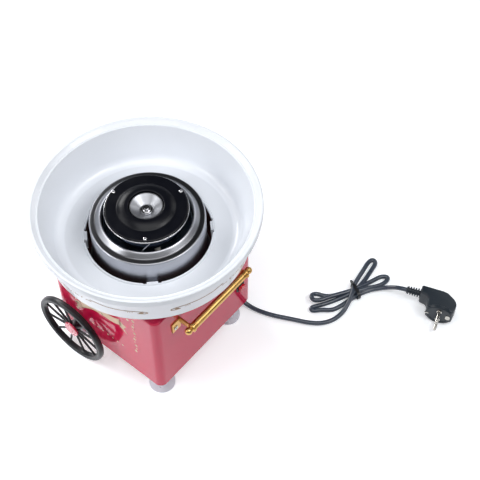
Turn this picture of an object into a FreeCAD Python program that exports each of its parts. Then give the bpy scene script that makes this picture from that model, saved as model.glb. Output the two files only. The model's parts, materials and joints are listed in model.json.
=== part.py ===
"""Cotton candy machine: a cart-shaped housing with a lift-off bowl and a heated spinner head.

+Z is up and the origin is on the floor under the spinner's axis.  The side with the carrying
handle and the switch faces +X, and a cart wheel stands off the -Y side and off the +Y side.
Every length is in millimetres.
"""

import FreeCAD, Part
import math
import os

import Sketcher
from FreeCAD import Placement, Rotation, Vector

DOC = FreeCAD.newDocument("cotton_candy_machine")
SHEET = DOC.addObject("Spreadsheet::Sheet", "sizes")

DRIVING_SIZES = {
    # housing
    "foot_height": 29.0, "housing_width": 185.0, "housing_depth": 189.0, "deck_height": 182.0,
    "corner_radius": 10.5, "wall": 2.5, "edge_round": 2.5, "collar_inner": 86.3, "collar_outer": 89.4,
    "collar_top": 200.0, "well_radius": 86.0, "well_wall": 2.0, "well_floor": 150.0,
    "base_plate_thick": 3.0, "boss_radius": 5.0,
    # feet
    "foot_x": 74.0, "front_foot_y": -75.0, "rear_foot_y": 64.0, "foot_radius": 18.0, "foot_neck": 6.3,
    # bowl
    "rim_radius": 145.0, "rim_top": 259.4, "lip_height": 8.6, "bowl_floor": 204.0, "bowl_wall": 2.5,
    "bowl_flat": 106.0, "bowl_curve": 14.0, "skirt_radius": 131.0, "hole_radius": 81.0,
    "tab_width": 14.0, "tab_bottom": 187.0,
    # drum
    "drum_radius": 73.5, "drum_sheet": 1.0, "drum_shoulder": 233.0, "drum_mouth": 57.5, "drum_top": 239.0,
    # heater
    "shield_radius": 56.5, "shield_floor": 196.0, "shield_top": 222.0, "heater_inner": 28.0,
    "heater_outer": 46.0, "heater_bottom": 228.0, "heater_thick": 5.0,
    # spinner head
    "pan_radius": 53.3, "pan_flange": 248.6, "pan_floor": 236.0, "pan_sheet": 1.2, "head_gap": 1.0,
    "cover_radius": 51.9, "dome_radius": 36.0, "dome_hole": 22.0, "cup_radius": 20.8, "cup_top": 255.8,
    "cup_floor": 246.0, "head_screw_circle": 48.5,
    # motor
    "shaft_radius": 3.0, "running_gap": 0.05, "motor_radius": 28.0, "motor_bottom": 84.0,
    "motor_top": 132.0, "fan_radius": 30.0, "fan_bottom": 64.0, "mount_circle": 42.0,
    # wheels
    "wheel_radius": 56.0, "rim_band": 8.0, "wheel_x": -50.0, "wheel_standoff": 19.0,
    "rim_thick": 9.0, "hub_radius": 9.0, "axle_radius": 4.0, "spoke_width": 3.4,
    # handle
    "rod_x": 115.0, "rod_z": 153.5, "rod_radius": 4.4, "arm_y": 52.4, "ball_radius": 5.6,
    "bracket_sheet": 2.0, "handle_screw_y": 60.5, "handle_screw_z": 142.5,
    # switch
    "switch_y": 69.5, "switch_z": 82.0, "bezel_length": 15.4, "bezel_height": 10.6, "bezel_overhang": 1.0,
    "rocker_length": 9.8, "rocker_height": 6.6, "rocker_tilt": 6.0,
    # mains cord
    "cord_radius": 3.3, "cord_exit_height": 22.0, "plug_radius": 19.0, "pin_radius": 2.4,
    "pin_spacing": 19.0, "pin_length": 19.0,
}


class Size:
    """A length that knows its number and the sheet formula that it comes from."""

    def __init__(self, number, text):
        self.number = number
        self.text = text

    def joined(self, other, sign, number):
        text = other.text if isinstance(other, Size) else repr(float(other))
        return Size(number, "(%s %s %s)" % (self.text, sign, text))

    def __add__(self, other):
        return self.joined(other, "+", self.number + plain(other))

    def __sub__(self, other):
        return self.joined(other, "-", self.number - plain(other))

    def __mul__(self, other):
        return self.joined(other, "*", self.number * plain(other))

    def __truediv__(self, other):
        return self.joined(other, "/", self.number / plain(other))

    def __radd__(self, other):
        return Size(float(other), repr(float(other))) + self

    def __rsub__(self, other):
        return Size(float(other), repr(float(other))) - self

    def __rmul__(self, other):
        return self * other

    def __neg__(self):
        return self * -1.0


def plain(length):
    """The number in a Size, or the number itself."""
    return length.number if isinstance(length, Size) else float(length)


def fill_sheet():
    """Write the driving sizes into the sheet and return them by name."""
    named = {}
    for row, (alias, number) in enumerate(DRIVING_SIZES.items(), start=1):
        SHEET.set("A%d" % row, alias)
        SHEET.set("B%d" % row, str(number))
        SHEET.setAlias("B%d" % row, alias)
        named[alias] = Size(number, "sizes." + alias)
    DOC.recompute()
    return named


S = fill_sheet()
PARTS = {}


def bind(thing, prop, length):
    """Set a property from a number, or tie it to the sheet."""
    if isinstance(length, Size):
        thing.setExpression(prop, length.text)
    else:
        thing.setExpression(prop, repr(float(length)))


def put(thing, at, turn=None):
    """Place an object: `at` may hold sheet lengths, `turn` is a Rotation."""
    thing.Placement = Placement(Vector(*[plain(value) for value in at]), turn or Rotation())
    for axis, value in zip("xyz", at):
        if isinstance(value, Size):
            thing.setExpression("Placement.Base." + axis, value.text)
    return thing


def keep(node, thing):
    """Register an object as the sub-part called `node`."""
    thing.Label = node
    PARTS[node] = thing
    return thing


# ---------------------------------------------------------------- building blocks

ALONG_X = Rotation(Vector(0, 1, 0), 90)
ALONG_MINUS_Y = Rotation(Vector(1, 0, 0), 90)
ALONG_PLUS_Y = Rotation(Vector(1, 0, 0), -90)
DOWN = Rotation(Vector(1, 0, 0), 180)


def cylinder(name, radius, height, at=(0, 0, 0), turn=None):
    rod = DOC.addObject("Part::Cylinder", name)
    bind(rod, "Radius", radius)
    bind(rod, "Height", height)
    return put(rod, at, turn)


def cone(name, radius_1, radius_2, height, at=(0, 0, 0), turn=None):
    taper = DOC.addObject("Part::Cone", name)
    bind(taper, "Radius1", radius_1)
    bind(taper, "Radius2", radius_2)
    bind(taper, "Height", height)
    return put(taper, at, turn)


def box(name, size, low, turn=None):
    block = DOC.addObject("Part::Box", name)
    for prop, length in zip(("Length", "Width", "Height"), size):
        bind(block, prop, length)
    return put(block, low, turn)


def fuse(name, *pieces):
    whole = DOC.addObject("Part::MultiFuse", name)
    whole.Shapes = list(pieces)
    return whole


def cut(name, base, tool):
    rest = DOC.addObject("Part::Cut", name)
    rest.Base = base
    rest.Tool = tool
    return rest


def group(name, pieces):
    """Several separate solids in one node."""
    bundle = DOC.addObject("Part::Compound", name)
    bundle.Links = list(pieces)
    return bundle


def tube(name, outer, inner, height, at=(0, 0, 0), turn=None):
    return cut(name, cylinder(name + "_outside", outer, height, at, turn),
               cylinder(name + "_bore", inner, height, at, turn))


def screw(name, head_radius, head_height, shank_radius, shank_length, at, turn=None):
    """A screw whose head rises from `at` and whose shank goes the other way, along its local Z."""
    head = cylinder(name + "_head", head_radius, head_height)
    shank = cylinder(name + "_shank", shank_radius, shank_length, (0, 0, -plain(shank_length)))
    return put(fuse(name, head, shank), at, turn)


def arc_centre(start, end, radius):
    """Centre of an arc from start to end: on the left of the way there when radius is positive."""
    chord = end - start
    half = chord.Length / 2
    rise = math.sqrt(max(radius * radius - half * half, 0.0))
    left = Vector(-chord.y, chord.x, 0).normalize()
    return start + chord * 0.5 + left * math.copysign(rise, radius)


def draw(sketch, outline):
    """A closed outline through (x, y) corners.  A third value makes the edge that arrives there
    an arc of that radius, with its centre on the left of the travel, or on the right if negative."""
    points = [Vector(plain(corner[0]), plain(corner[1]), 0) for corner in outline]
    ends = []
    for index, corner in enumerate(outline):
        start, end = points[index - 1], points[index]
        if len(corner) == 3:
            radius = plain(corner[2])
            centre = arc_centre(start, end, radius)
            first, last = (start, end) if radius > 0 else (end, start)
            angles = [math.atan2(spot.y - centre.y, spot.x - centre.x) for spot in (first, last)]
            circle = Part.Circle(centre, Vector(0, 0, 1), abs(radius))
            edge = sketch.addGeometry(Part.ArcOfCircle(circle, angles[0], angles[1]), False)
            ends.append((edge, 1, 2) if radius > 0 else (edge, 2, 1))
            spot = sketch.addConstraint(Sketcher.Constraint("Radius", edge, abs(radius)))
            if isinstance(corner[2], Size):
                sketch.setExpression("Constraints[%d]" % spot, "abs(%s)" % corner[2].text)
        else:
            edge = sketch.addGeometry(Part.LineSegment(start, end), False)
            ends.append((edge, 1, 2))
    for index, corner in enumerate(outline):
        edge, _, finish = ends[index]
        following, begin, _ = ends[(index + 1) % len(ends)]
        sketch.addConstraint(Sketcher.Constraint("Coincident", edge, finish, following, begin))
        for kind, length in (("DistanceX", corner[0]), ("DistanceY", corner[1])):
            spot = sketch.addConstraint(Sketcher.Constraint(kind, edge, finish, plain(length)))
            if isinstance(length, Size):
                sketch.setExpression("Constraints[%d]" % spot, length.text)


def draw_circle(sketch, radius, x=0, y=0):
    circle = Part.Circle(Vector(plain(x), plain(y), 0), Vector(0, 0, 1), plain(radius))
    ring = sketch.addGeometry(circle, False)
    for kind, length in (("DistanceX", x), ("DistanceY", y)):
        spot = sketch.addConstraint(Sketcher.Constraint(kind, ring, 3, plain(length)))
        if isinstance(length, Size):
            sketch.setExpression("Constraints[%d]" % spot, length.text)
    spot = sketch.addConstraint(Sketcher.Constraint("Radius", ring, plain(radius)))
    if isinstance(radius, Size):
        sketch.setExpression("Constraints[%d]" % spot, radius.text)


def rounded_rectangle(half_x, half_y, radius, x=0, y=0):
    """Outline of a rectangle with round corners, anticlockwise."""
    left, right = x - half_x, x + half_x
    low, high = y - half_y, y + half_y
    return [(right, low + radius, radius), (right, high - radius), (right - radius, high, radius),
            (left + radius, high), (left, high - radius, radius), (left, low + radius),
            (left + radius, low, radius), (right - radius, low)]


def new_body(name):
    return DOC.addObject("PartDesign::Body", name)


def origin_feature(body, role):
    return next(feature for feature in body.Origin.OriginFeatures if feature.Role == role)


def new_sketch(body, name, plane="XY_Plane", offset=0):
    sketch = body.newObject("Sketcher::SketchObject", name)
    sketch.AttachmentSupport = (origin_feature(body, plane), "")
    sketch.MapMode = "FlatFace"
    if isinstance(offset, Size):
        sketch.setExpression("AttachmentOffset.Base.z", offset.text)
    else:
        sketch.AttachmentOffset = Placement(Vector(0, 0, offset), Rotation())
    return sketch


def revolve(body, name, outline):
    """Add material turned about the body's Z axis: outline is (radius, height) corners."""
    sketch = new_sketch(body, name + "_section", "XZ_Plane")
    draw(sketch, outline)
    turned = body.newObject("PartDesign::Revolution", name)
    turned.Profile = sketch
    turned.ReferenceAxis = (sketch, ["V_Axis"])
    turned.Angle = 360
    DOC.recompute()
    return turned


def pad(body, sketch, length, symmetric=False):
    raised = body.newObject("PartDesign::Pad", sketch.Name + "_pad")
    raised.Profile = sketch
    bind(raised, "Length", length)
    if symmetric:
        raised.SideType = "Symmetric"
    DOC.recompute()
    return raised


def pocket(body, sketch, length, backwards=False, through=False, symmetric=False):
    """Cut along the sketch's normal (backwards=True) or against it, and make sure that it cuts."""
    before = body.Shape.Volume
    hole = body.newObject("PartDesign::Pocket", sketch.Name + "_pocket")
    hole.Profile = sketch
    hole.Reversed = backwards
    bind(hole, "Length", length)
    if symmetric:
        hole.SideType = "Symmetric"
    if through:
        hole.Type = "ThroughAll"
    DOC.recompute()
    if hole.Shape.Volume > before - 0.1:
        raise RuntimeError("pocket %s cuts nothing" % hole.Name)
    return hole


def polar_copies(body, feature, count):
    pattern = body.newObject("PartDesign::PolarPattern", feature.Name + "_pattern")
    pattern.Originals = [feature]
    pattern.Axis = (origin_feature(body, "Z_Axis"), [""])
    pattern.Angle = 360
    pattern.Occurrences = count
    body.Tip = pattern
    DOC.recompute()
    return pattern


def turned_part(node, outline, at=None, turn=None):
    """A whole sub-part turned from one section."""
    body = new_body(node)
    revolve(body, node + "_turned", outline)
    if at is not None:
        put(body, at, turn)
    return keep(node, body)


def ring_section(inner, outer, low, high):
    return [(inner, low), (outer, low), (outer, high), (inner, high)]


def on_circle(radius, degrees):
    """x and y of a point on a circle about the Z axis, as sheet lengths."""
    angle = math.radians(degrees)
    return radius * math.cos(angle), radius * math.sin(angle)


# ---------------------------------------------------------------- housing

HALF_X = S["housing_width"] / 2
HALF_Y = S["housing_depth"] / 2
WALL = S["wall"]
PLATE_TOP = S["foot_height"] + S["base_plate_thick"]
BOSS_SPOTS = [(HALF_X - 6.5, 0), (0, HALF_Y - 6.5), (6.5 - HALF_X, 0), (0, 6.5 - HALF_Y)]
AXLE_HEIGHT = S["wheel_radius"] + 2.0
HUB_INSET = 8.0


def make_housing():
    body = new_body("housing")
    outside = new_sketch(body, "housing_outside", offset=S["foot_height"])
    draw(outside, rounded_rectangle(HALF_X, HALF_Y, S["corner_radius"]))
    block = pad(body, outside, S["deck_height"] - S["foot_height"])

    top_edges = ["Edge%d" % number for number, edge in enumerate(block.Shape.Edges, start=1)
                 if edge.BoundBox.ZMin > S["deck_height"].number - 0.01]
    rounding = body.newObject("PartDesign::Fillet", "housing_edge_round")
    rounding.Base = (block, top_edges)
    bind(rounding, "Radius", S["edge_round"])
    DOC.recompute()

    inside = new_sketch(body, "housing_inside", offset=S["foot_height"])
    draw(inside, rounded_rectangle(HALF_X - WALL, HALF_Y - WALL, S["corner_radius"] - WALL))
    pocket(body, inside, S["deck_height"] - S["foot_height"] - WALL, backwards=True)

    well_hole = new_sketch(body, "housing_well_hole", offset=S["deck_height"])
    draw_circle(well_hole, S["collar_inner"])
    pocket(body, well_hole, WALL * 2)

    collar = new_sketch(body, "housing_collar", offset=S["deck_height"] - WALL)
    draw_circle(collar, S["collar_outer"])
    draw_circle(collar, S["collar_inner"])
    pad(body, collar, S["collar_top"] - S["deck_height"] + WALL)

    for number, (x, y) in enumerate(BOSS_SPOTS):
        boss = new_sketch(body, "housing_boss_%d" % number, offset=PLATE_TOP)
        draw_circle(boss, S["boss_radius"], x, y)
        pad(body, boss, 32)
        bore = new_sketch(body, "housing_boss_bore_%d" % number, offset=PLATE_TOP)
        draw_circle(bore, 1.6, x, y)
        pocket(body, bore, 20, backwards=True)

    axles = new_sketch(body, "housing_axle_holes", "XZ_Plane")
    draw_circle(axles, S["axle_radius"], S["wheel_x"], AXLE_HEIGHT)
    pocket(body, axles, S["housing_depth"] * 1.1, symmetric=True)

    right_side = new_sketch(body, "housing_side_holes", "YZ_Plane", offset=HALF_X - 5)
    play = 0.1 - S["bezel_overhang"]
    half_length, half_height = S["bezel_length"] / 2 + play, S["bezel_height"] / 2 + play
    draw(right_side, rounded_rectangle(half_length, half_height, 1.0, S["switch_y"], S["switch_z"]))
    for side in (-1, 1):
        draw_circle(right_side, 1.8, S["handle_screw_y"] * side, S["handle_screw_z"])
    pocket(body, right_side, 10, backwards=True)
    keep("housing", body)


def make_base_plate():
    body = new_body("base_plate")
    plate = new_sketch(body, "base_plate_outline", offset=S["foot_height"])
    inset = WALL + 0.2
    draw(plate, rounded_rectangle(HALF_X - inset, HALF_Y - inset, S["corner_radius"] - inset))
    pad(body, plate, S["base_plate_thick"])

    holes = new_sketch(body, "base_plate_holes", offset=S["foot_height"])
    for side_x in (-1, 1):
        for spot_y in (S["front_foot_y"], S["rear_foot_y"]):
            draw_circle(holes, S["foot_neck"], S["foot_x"] * side_x, spot_y)
    for x, y in BOSS_SPOTS:
        draw_circle(holes, 1.6, x, y)
    draw_circle(holes, 4.5, CORD_BLOCK_X, CORD_BLOCK_Y)
    pocket(body, holes, S["base_plate_thick"], backwards=True)

    vent = new_sketch(body, "base_plate_vent", offset=S["foot_height"])
    draw(vent, rounded_rectangle(24, 1.6, 1.59, 0, -27))
    slot = pocket(body, vent, S["base_plate_thick"], backwards=True)
    slots = body.newObject("PartDesign::LinearPattern", "base_plate_vents")
    slots.Originals = [slot]
    slots.Direction = (origin_feature(body, "Y_Axis"), [""])
    slots.Length = 54
    slots.Occurrences = 7
    body.Tip = slots
    DOC.recompute()
    keep("base_plate", body)


def make_base_screws():
    screws = [screw("base_screw_%d" % number, 3.2, 2.0, 1.6, 18, (x, y, S["foot_height"]), DOWN)
              for number, (x, y) in enumerate(BOSS_SPOTS)]
    keep("base_screws", group("base_screws", screws))


def make_feet():
    """Rubber suction feet, pulled through holes in the base plate."""
    neck = S["foot_neck"]
    for end in ("front", "rear"):
        for flank, side_x in (("left", -1), ("right", 1)):
            section = [(0, 7.5), (8, 6.2), (13, 3), (S["foot_radius"] - 2.4, 0), (S["foot_radius"], 0),
                       (S["foot_radius"], 1.2), (14.5, 5.4), (9.5, 11.5), (7.5, 18), (7.5, 24),
                       (10.5, 26), (10.5, S["foot_height"]), (neck, S["foot_height"]), (neck, PLATE_TOP),
                       (8.5, PLATE_TOP), (7.0, PLATE_TOP + 2.5), (0, PLATE_TOP + 3)]
            turned_part("foot_%s_%s" % (end, flank), section, (S["foot_x"] * side_x, S[end + "_foot_y"], 0))


def make_well():
    wall, floor = S["well_wall"], S["well_floor"]
    radius = S["well_radius"]
    top = S["collar_top"]
    turned_part("well_liner", [
        (8, floor), (radius, floor), (radius, top), (S["collar_outer"], top), (S["collar_outer"], top + 1.2),
        (radius - wall, top + 1.2), (radius - wall, floor + 2.6), (8, floor + 2.6)])


# ---------------------------------------------------------------- drum and heater

WELL_TOP = S["well_floor"] + 2.6
DRUM_SCREW_ANGLES = (30, 150, 270)
POST_ANGLES = (90, 210, 330)


def make_drum():
    """Stepped stainless shroud around the spinner head."""
    outer, sheet = S["drum_radius"], S["drum_sheet"]
    shoulder, top, mouth = S["drum_shoulder"], S["drum_top"], S["drum_mouth"]
    body = new_body("drum_shroud")
    revolve(body, "drum_sheet_metal", [
        (outer - sheet, WELL_TOP), (outer + 6.5, WELL_TOP), (outer + 6.5, WELL_TOP + sheet),
        (outer, WELL_TOP + sheet), (outer, shoulder - 4), (outer - 4, shoulder, 4.0),
        (outer - 8.2, shoulder + 0.2), (outer - 9.2, shoulder + 1.4, -1.2), (mouth + 1.6, top - 0.4),
        (mouth, top - 0.9, 1.1), (mouth, top - 12), (mouth + sheet, top - 12), (mouth + sheet, top - 2.2),
        (outer - 10, shoulder + 0.4), (outer - 8.8, shoulder - 0.9, 1.5), (outer - 4.2, shoulder - sheet),
        (outer - sheet, shoulder - 4.2, -3.2)])
    holes = new_sketch(body, "drum_screw_holes", offset=WELL_TOP - 1)
    for angle in DRUM_SCREW_ANGLES:
        draw_circle(holes, 1.5, *on_circle(outer + 3.4, angle))
    pocket(body, holes, 4, backwards=True)
    keep("drum_shroud", body)
    screws = []
    for angle in DRUM_SCREW_ANGLES:
        x, y = on_circle(outer + 3.4, angle)
        screws.append(screw("drum_screw_%d" % angle, 2.6, 1.6, 1.5, 1.0, (x, y, WELL_TOP + sheet)))
    keep("drum_screws", group("drum_screws", screws))


def make_heater():
    floor, radius = S["shield_floor"], S["shield_radius"]
    turned_part("heat_shield", [
        (6, floor), (radius, floor), (radius, S["shield_top"]), (radius - 1, S["shield_top"]),
        (radius - 1, floor + 1), (6, floor + 1)])
    supports, posts, terminals = [], [], []
    middle = (S["heater_inner"] + S["heater_outer"]) / 2
    for angle in POST_ANGLES:
        x, y = on_circle(middle, angle)
        supports.append(cylinder("shield_support_%d" % angle, 3.0, floor - WELL_TOP, (x, y, WELL_TOP)))
        posts.append(cylinder("heater_post_%d" % angle, 3.6, S["heater_bottom"] - floor - 1,
                              (x, y, floor + 1)))
    keep("shield_supports", group("shield_supports", supports))
    keep("heater_posts", group("heater_posts", posts))
    for angle in (0, 30):
        x, y = on_circle(middle, angle)
        terminals.append(cylinder("heater_terminal_%d" % angle, 1.8, 14, (x, y, S["heater_bottom"] - 14)))
    keep("heater_terminals", group("heater_terminals", terminals))
    turned_part("heater_ring", ring_section(
        S["heater_inner"], S["heater_outer"], S["heater_bottom"], S["heater_bottom"] + S["heater_thick"]))
    keep("thermal_fuse", cylinder("thermal_fuse", 2.5, 14, (-7, -40, floor - 2.5), ALONG_X))


# ---------------------------------------------------------------- spinner head and motor

COVER_BOTTOM = S["pan_flange"] + S["pan_sheet"] + S["head_gap"]
HEAD_SCREW_ANGLES = (-50, 70, 190)


def make_head():
    sheet, flange, floor = S["pan_sheet"], S["pan_flange"], S["pan_floor"]
    shaft = S["shaft_radius"]
    pan = new_body("head_pan")
    revolve(pan, "head_pan_spun", [
        (shaft, floor - 9), (8, floor - 9), (8, floor), (38, floor), (44, flange), (S["pan_radius"], flange),
        (S["pan_radius"], flange + sheet), (43.2, flange + sheet), (37.2, floor + sheet), (8, floor + sheet),
        (8, S["cup_floor"]), (shaft, S["cup_floor"])])
    pan_holes = new_sketch(pan, "pan_screw_holes", offset=flange - 1)
    for angle in HEAD_SCREW_ANGLES:
        draw_circle(pan_holes, 1.2, *on_circle(S["head_screw_circle"], angle))
    pocket(pan, pan_holes, 4, backwards=True)
    keep("head_pan", pan)

    low, edge = COVER_BOTTOM, S["cover_radius"]
    dome, hole = S["dome_radius"], S["dome_hole"]
    cover = new_body("head_cover")
    revolve(cover, "head_cover_moulded", [
        (edge, low), (edge, low + 1.0), (edge - 1.4, low + 1.8, 2.0), (dome + 2.5, low + 2.2),
        (dome, low + 3.0, -3.2), (hole + 5.0, low + 7.0, 22.0), (hole + 1.5, low + 7.2),
        (hole, low + 6.0, 1.5), (hole, low + 4.6), (hole + 4.6, low + 4.6), (dome - 3.0, low + 2.0),
        (dome + 1.6, low + 0.8), (edge - 2.0, low)])
    cover_holes = new_sketch(cover, "cover_screw_holes", offset=low - 1)
    for angle in HEAD_SCREW_ANGLES:
        draw_circle(cover_holes, 1.2, *on_circle(S["head_screw_circle"], angle))
    pocket(cover, cover_holes, 6, backwards=True)
    keep("head_cover", cover)

    spacers, screws = [], []
    for angle in HEAD_SCREW_ANGLES:
        x, y = on_circle(S["head_screw_circle"], angle)
        spacers.append(tube("head_spacer_%d" % angle, 2.6, 1.2, S["head_gap"], (x, y, flange + sheet)))
        screws.append(screw("head_screw_%d" % angle, 2.3, 1.5, 1.2, 4.2, (x, y, low + 2.1)))
    keep("head_spacers", group("head_spacers", spacers))
    keep("head_screws", group("head_screws", screws))

    bottom, rim, top = S["cup_floor"], S["cup_radius"], S["cup_top"]
    turned_part("sugar_cup", [
        (shaft, bottom), (8.4, bottom), (rim - 0.4, top - 1.0), (rim, top - 1.0), (rim, top),
        (rim - 1.4, top), (8.6, bottom + 1.4), (shaft, bottom + 1.4)])
    turned_part("head_nut", [
        (shaft, bottom + 1.4), (6.2, bottom + 1.4), (6.2, bottom + 3.2), (4.6, bottom + 5.0),
        (shaft, bottom + 5.2)])


def make_motor():
    shaft, gap = S["shaft_radius"], S["running_gap"]
    low, high, radius = S["motor_bottom"], S["motor_top"], S["motor_radius"]
    keep("motor_shaft", cylinder("motor_shaft", shaft, S["cup_floor"] + 6.6 - S["fan_bottom"] + 4,
                                 (0, 0, S["fan_bottom"] - 4)))
    turned_part("motor_can", [
        (8, low), (radius, low), (radius, high), (radius - 1.2, high), (radius - 1.2, low + 1.2), (8, low + 1.2)])
    turned_part("motor_cap", [
        (8, high), (radius, high), (radius, high + 2.5), (8, high + 2.5)])
    turned_part("bearing_lower", ring_section(shaft + gap, 8, low - 1, low + 5))
    turned_part("bearing_upper", ring_section(shaft + gap, 8, high - 3, high + 2.5))
    turned_part("motor_magnets", ring_section(21, radius - 1.2, low + 8, high - 6))
    turned_part("motor_rotor", [
        (shaft, low + 10), (19, low + 10), (19, high - 10), (8, high - 10), (8, high - 5), (shaft, high - 5)])

    fan = new_body("cooling_fan")
    revolve(fan, "fan_hub", ring_section(shaft, 8, S["fan_bottom"], S["fan_bottom"] + 10))
    blade = new_sketch(fan, "fan_blade", offset=S["fan_bottom"] + 1)
    draw(blade, [(7, -0.9), (S["fan_radius"], -5.5), (S["fan_radius"], -3.7), (7, 0.9)])
    polar_copies(fan, pad(fan, blade, 8), 7)
    keep("cooling_fan", fan)

    bracket = new_body("motor_bracket")
    revolve(bracket, "bracket_disc", ring_section(9, radius + 2, high + 2.5, high + 4.5))
    ear = new_sketch(bracket, "bracket_ear", offset=high + 2.5)
    draw(ear, [(radius, -6), (S["mount_circle"], -6), (S["mount_circle"], 6, 6.01), (radius, 6)])
    polar_copies(bracket, pad(bracket, ear, 2.0), 3)
    hole = new_sketch(bracket, "bracket_hole", offset=high + 2)
    draw_circle(hole, 2.0, S["mount_circle"], 0)
    polar_copies(bracket, pocket(bracket, hole, 4, backwards=True), 3)
    keep("motor_bracket", bracket)

    grommets, screws = [], []
    for angle in (0, 120, 240):
        x, y = on_circle(S["mount_circle"], angle)
        grommets.append(tube("motor_grommet_%d" % angle, 5.5, 2.0, S["well_floor"] - high - 4.5,
                             (x, y, high + 4.5)))
        screws.append(screw("motor_screw_%d" % angle, 3.8, 2.2, 2.0, S["well_floor"] - high - 2.5,
                            (x, y, high + 2.5), DOWN))
    keep("motor_grommets", group("motor_grommets", grommets))
    keep("motor_screws", group("motor_screws", screws))


# ---------------------------------------------------------------- cart wheels

def make_wheel(name, side):
    """A spoked wheel whose local Z points out from the housing's side."""
    outward = ALONG_MINUS_Y if side < 0 else ALONG_PLUS_Y
    middle = (S["wheel_x"], (HALF_Y + S["wheel_standoff"]) * side, AXLE_HEIGHT)
    half_rim = S["rim_thick"] / 2
    radius, band, hub = S["wheel_radius"], S["rim_band"], S["hub_radius"]

    wheel = new_body(name)
    bore = S["axle_radius"] + S["running_gap"]
    revolve(wheel, name + "_hub", [
        (bore, -HUB_INSET), (hub, -HUB_INSET), (hub, 0.8), (hub - 1.8, 0.8), (hub - 1.8, -2.0), (bore, -2.0)])
    spoke = new_sketch(wheel, name + "_spoke", offset=-4.2)
    half_spoke = S["spoke_width"] / 2
    draw(spoke, [(hub - 1, -half_spoke), (radius - band + 1, -half_spoke), (radius - band + 1, half_spoke),
                 (hub - 1, half_spoke)])
    polar_copies(wheel, pad(wheel, spoke, 4), 12)
    revolve(wheel, name + "_rim", [
        (radius - band, 1 - half_rim), (radius - band + 1, -half_rim), (radius - 1, -half_rim),
        (radius, 1 - half_rim), (radius, half_rim - 1), (radius - 1, half_rim),
        (radius - band + 1, half_rim), (radius - band, half_rim - 1)])
    put(wheel, middle, outward)
    keep(name, wheel)

    turned_part(name + "_hub_cap", [
        (hub, -0.2), (12, -0.2), (12, 1.9), (11, 2.9, 1.0), (0, 3.3), (0, 1.5), (hub - 2, 1.5),
        (hub - 2, 0.8), (hub, 0.8)], middle, outward)

    head_out = S["wheel_standoff"] - 1.6
    keep(name + "_axle", screw(name + "_axle", 6.2, 2.0, S["axle_radius"], head_out + 12,
                               (S["wheel_x"], (HALF_Y + head_out) * side, AXLE_HEIGHT), outward))
    bush = tube(name + "_bush", 6.8, S["axle_radius"], S["wheel_standoff"] - HUB_INSET - 0.4,
                (S["wheel_x"], HALF_Y * side, AXLE_HEIGHT), outward)
    nut = tube(name + "_nut", 7.0, S["axle_radius"], 4.0,
               (S["wheel_x"], (HALF_Y - WALL) * side, AXLE_HEIGHT),
               ALONG_PLUS_Y if side < 0 else ALONG_MINUS_Y)
    return bush, nut


def make_wheels():
    bushes, nuts = zip(make_wheel("wheel_front", -1), make_wheel("wheel_rear", 1))
    keep("axle_bushes", group("axle_bushes", bushes))
    keep("axle_nuts", group("axle_nuts", nuts))


# ---------------------------------------------------------------- handle

def make_handle():
    """A rod across two brackets, with a ball on each end."""
    sheet, arm_y = S["bracket_sheet"], S["arm_y"]
    rod_x, rod_z = S["rod_x"], S["rod_z"]
    balls, screws = [], []
    for name, side in (("front", -1), ("rear", 1)):
        foot_low = arm_y - 1.2 if side > 0 else -(arm_y + 14)
        foot = box("bracket_foot_" + name, (sheet, 15.2, 18), (HALF_X, foot_low, S["handle_screw_z"] - 7))
        arm_low = arm_y - 1.2 if side > 0 else -(arm_y + 1.2)
        root = box("bracket_arm_" + name, (rod_x - HALF_X, 2.4, 9), (HALF_X, arm_low, rod_z - 5.5))
        eye = cylinder("bracket_eye_" + name, 6.4, 2.4, (rod_x, arm_low, rod_z), ALONG_PLUS_Y)
        rod_hole = cylinder("bracket_rod_hole_" + name, S["rod_radius"], 6, (rod_x, arm_low - 2, rod_z),
                            ALONG_PLUS_Y)
        screw_hole = cylinder("bracket_screw_hole_" + name, 1.8, 6,
                              (HALF_X - 2, S["handle_screw_y"] * side, S["handle_screw_z"]), ALONG_X)
        whole = fuse("bracket_blank_" + name, foot, root, eye)
        holes = fuse("bracket_holes_" + name, rod_hole, screw_hole)
        keep("handle_bracket_" + name, cut("handle_bracket_" + name, whole, holes))
        at = (HALF_X + sheet, S["handle_screw_y"] * side, S["handle_screw_z"])
        screws.append(screw("handle_screw_" + name, 3.2, 1.8, 1.8, 10, at, ALONG_X))
        outward = ALONG_PLUS_Y if side > 0 else ALONG_MINUS_Y
        end_at = (rod_x, (arm_y + 1.2) * side, rod_z)
        ball = new_body("handle_ball_" + name)
        neck, centre = S["ball_radius"] * 0.6, 2.0 + S["ball_radius"] * 0.8
        revolve(ball, "ball_turned_" + name, [
            (0, 1.0), (S["rod_radius"], 1.0), (S["rod_radius"], 0), (4.9, 0), (4.9, 1.2), (neck, 2.0),
            (0, centre + S["ball_radius"], S["ball_radius"])])
        balls.append(put(ball, end_at, outward))
    keep("handle_balls", group("handle_balls", balls))
    keep("handle_screws", group("handle_screws", screws))
    rod = S["rod_radius"]
    half = arm_y + 2.2
    turned_part("handle_rod", [
        (0, -half), (rod, -half), (rod, 1.4 - arm_y), (5.0, 1.4 - arm_y), (5.0, 2.8 - arm_y), (3.7, 3.0 - arm_y),
        (3.7, 3.8 - arm_y), (4.8, 4.0 - arm_y), (4.8, 5.0 - arm_y), (rod, 5.2 - arm_y),
        (rod, arm_y - 5.2), (4.8, arm_y - 5.0), (4.8, arm_y - 4.0), (3.7, arm_y - 3.8), (3.7, arm_y - 3.0),
        (5.0, arm_y - 2.8), (5.0, arm_y - 1.4), (rod, arm_y - 1.4), (rod, half), (0, half)],
        (rod_x, 0, rod_z), ALONG_PLUS_Y)


# ---------------------------------------------------------------- switch and wiring blocks

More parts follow.
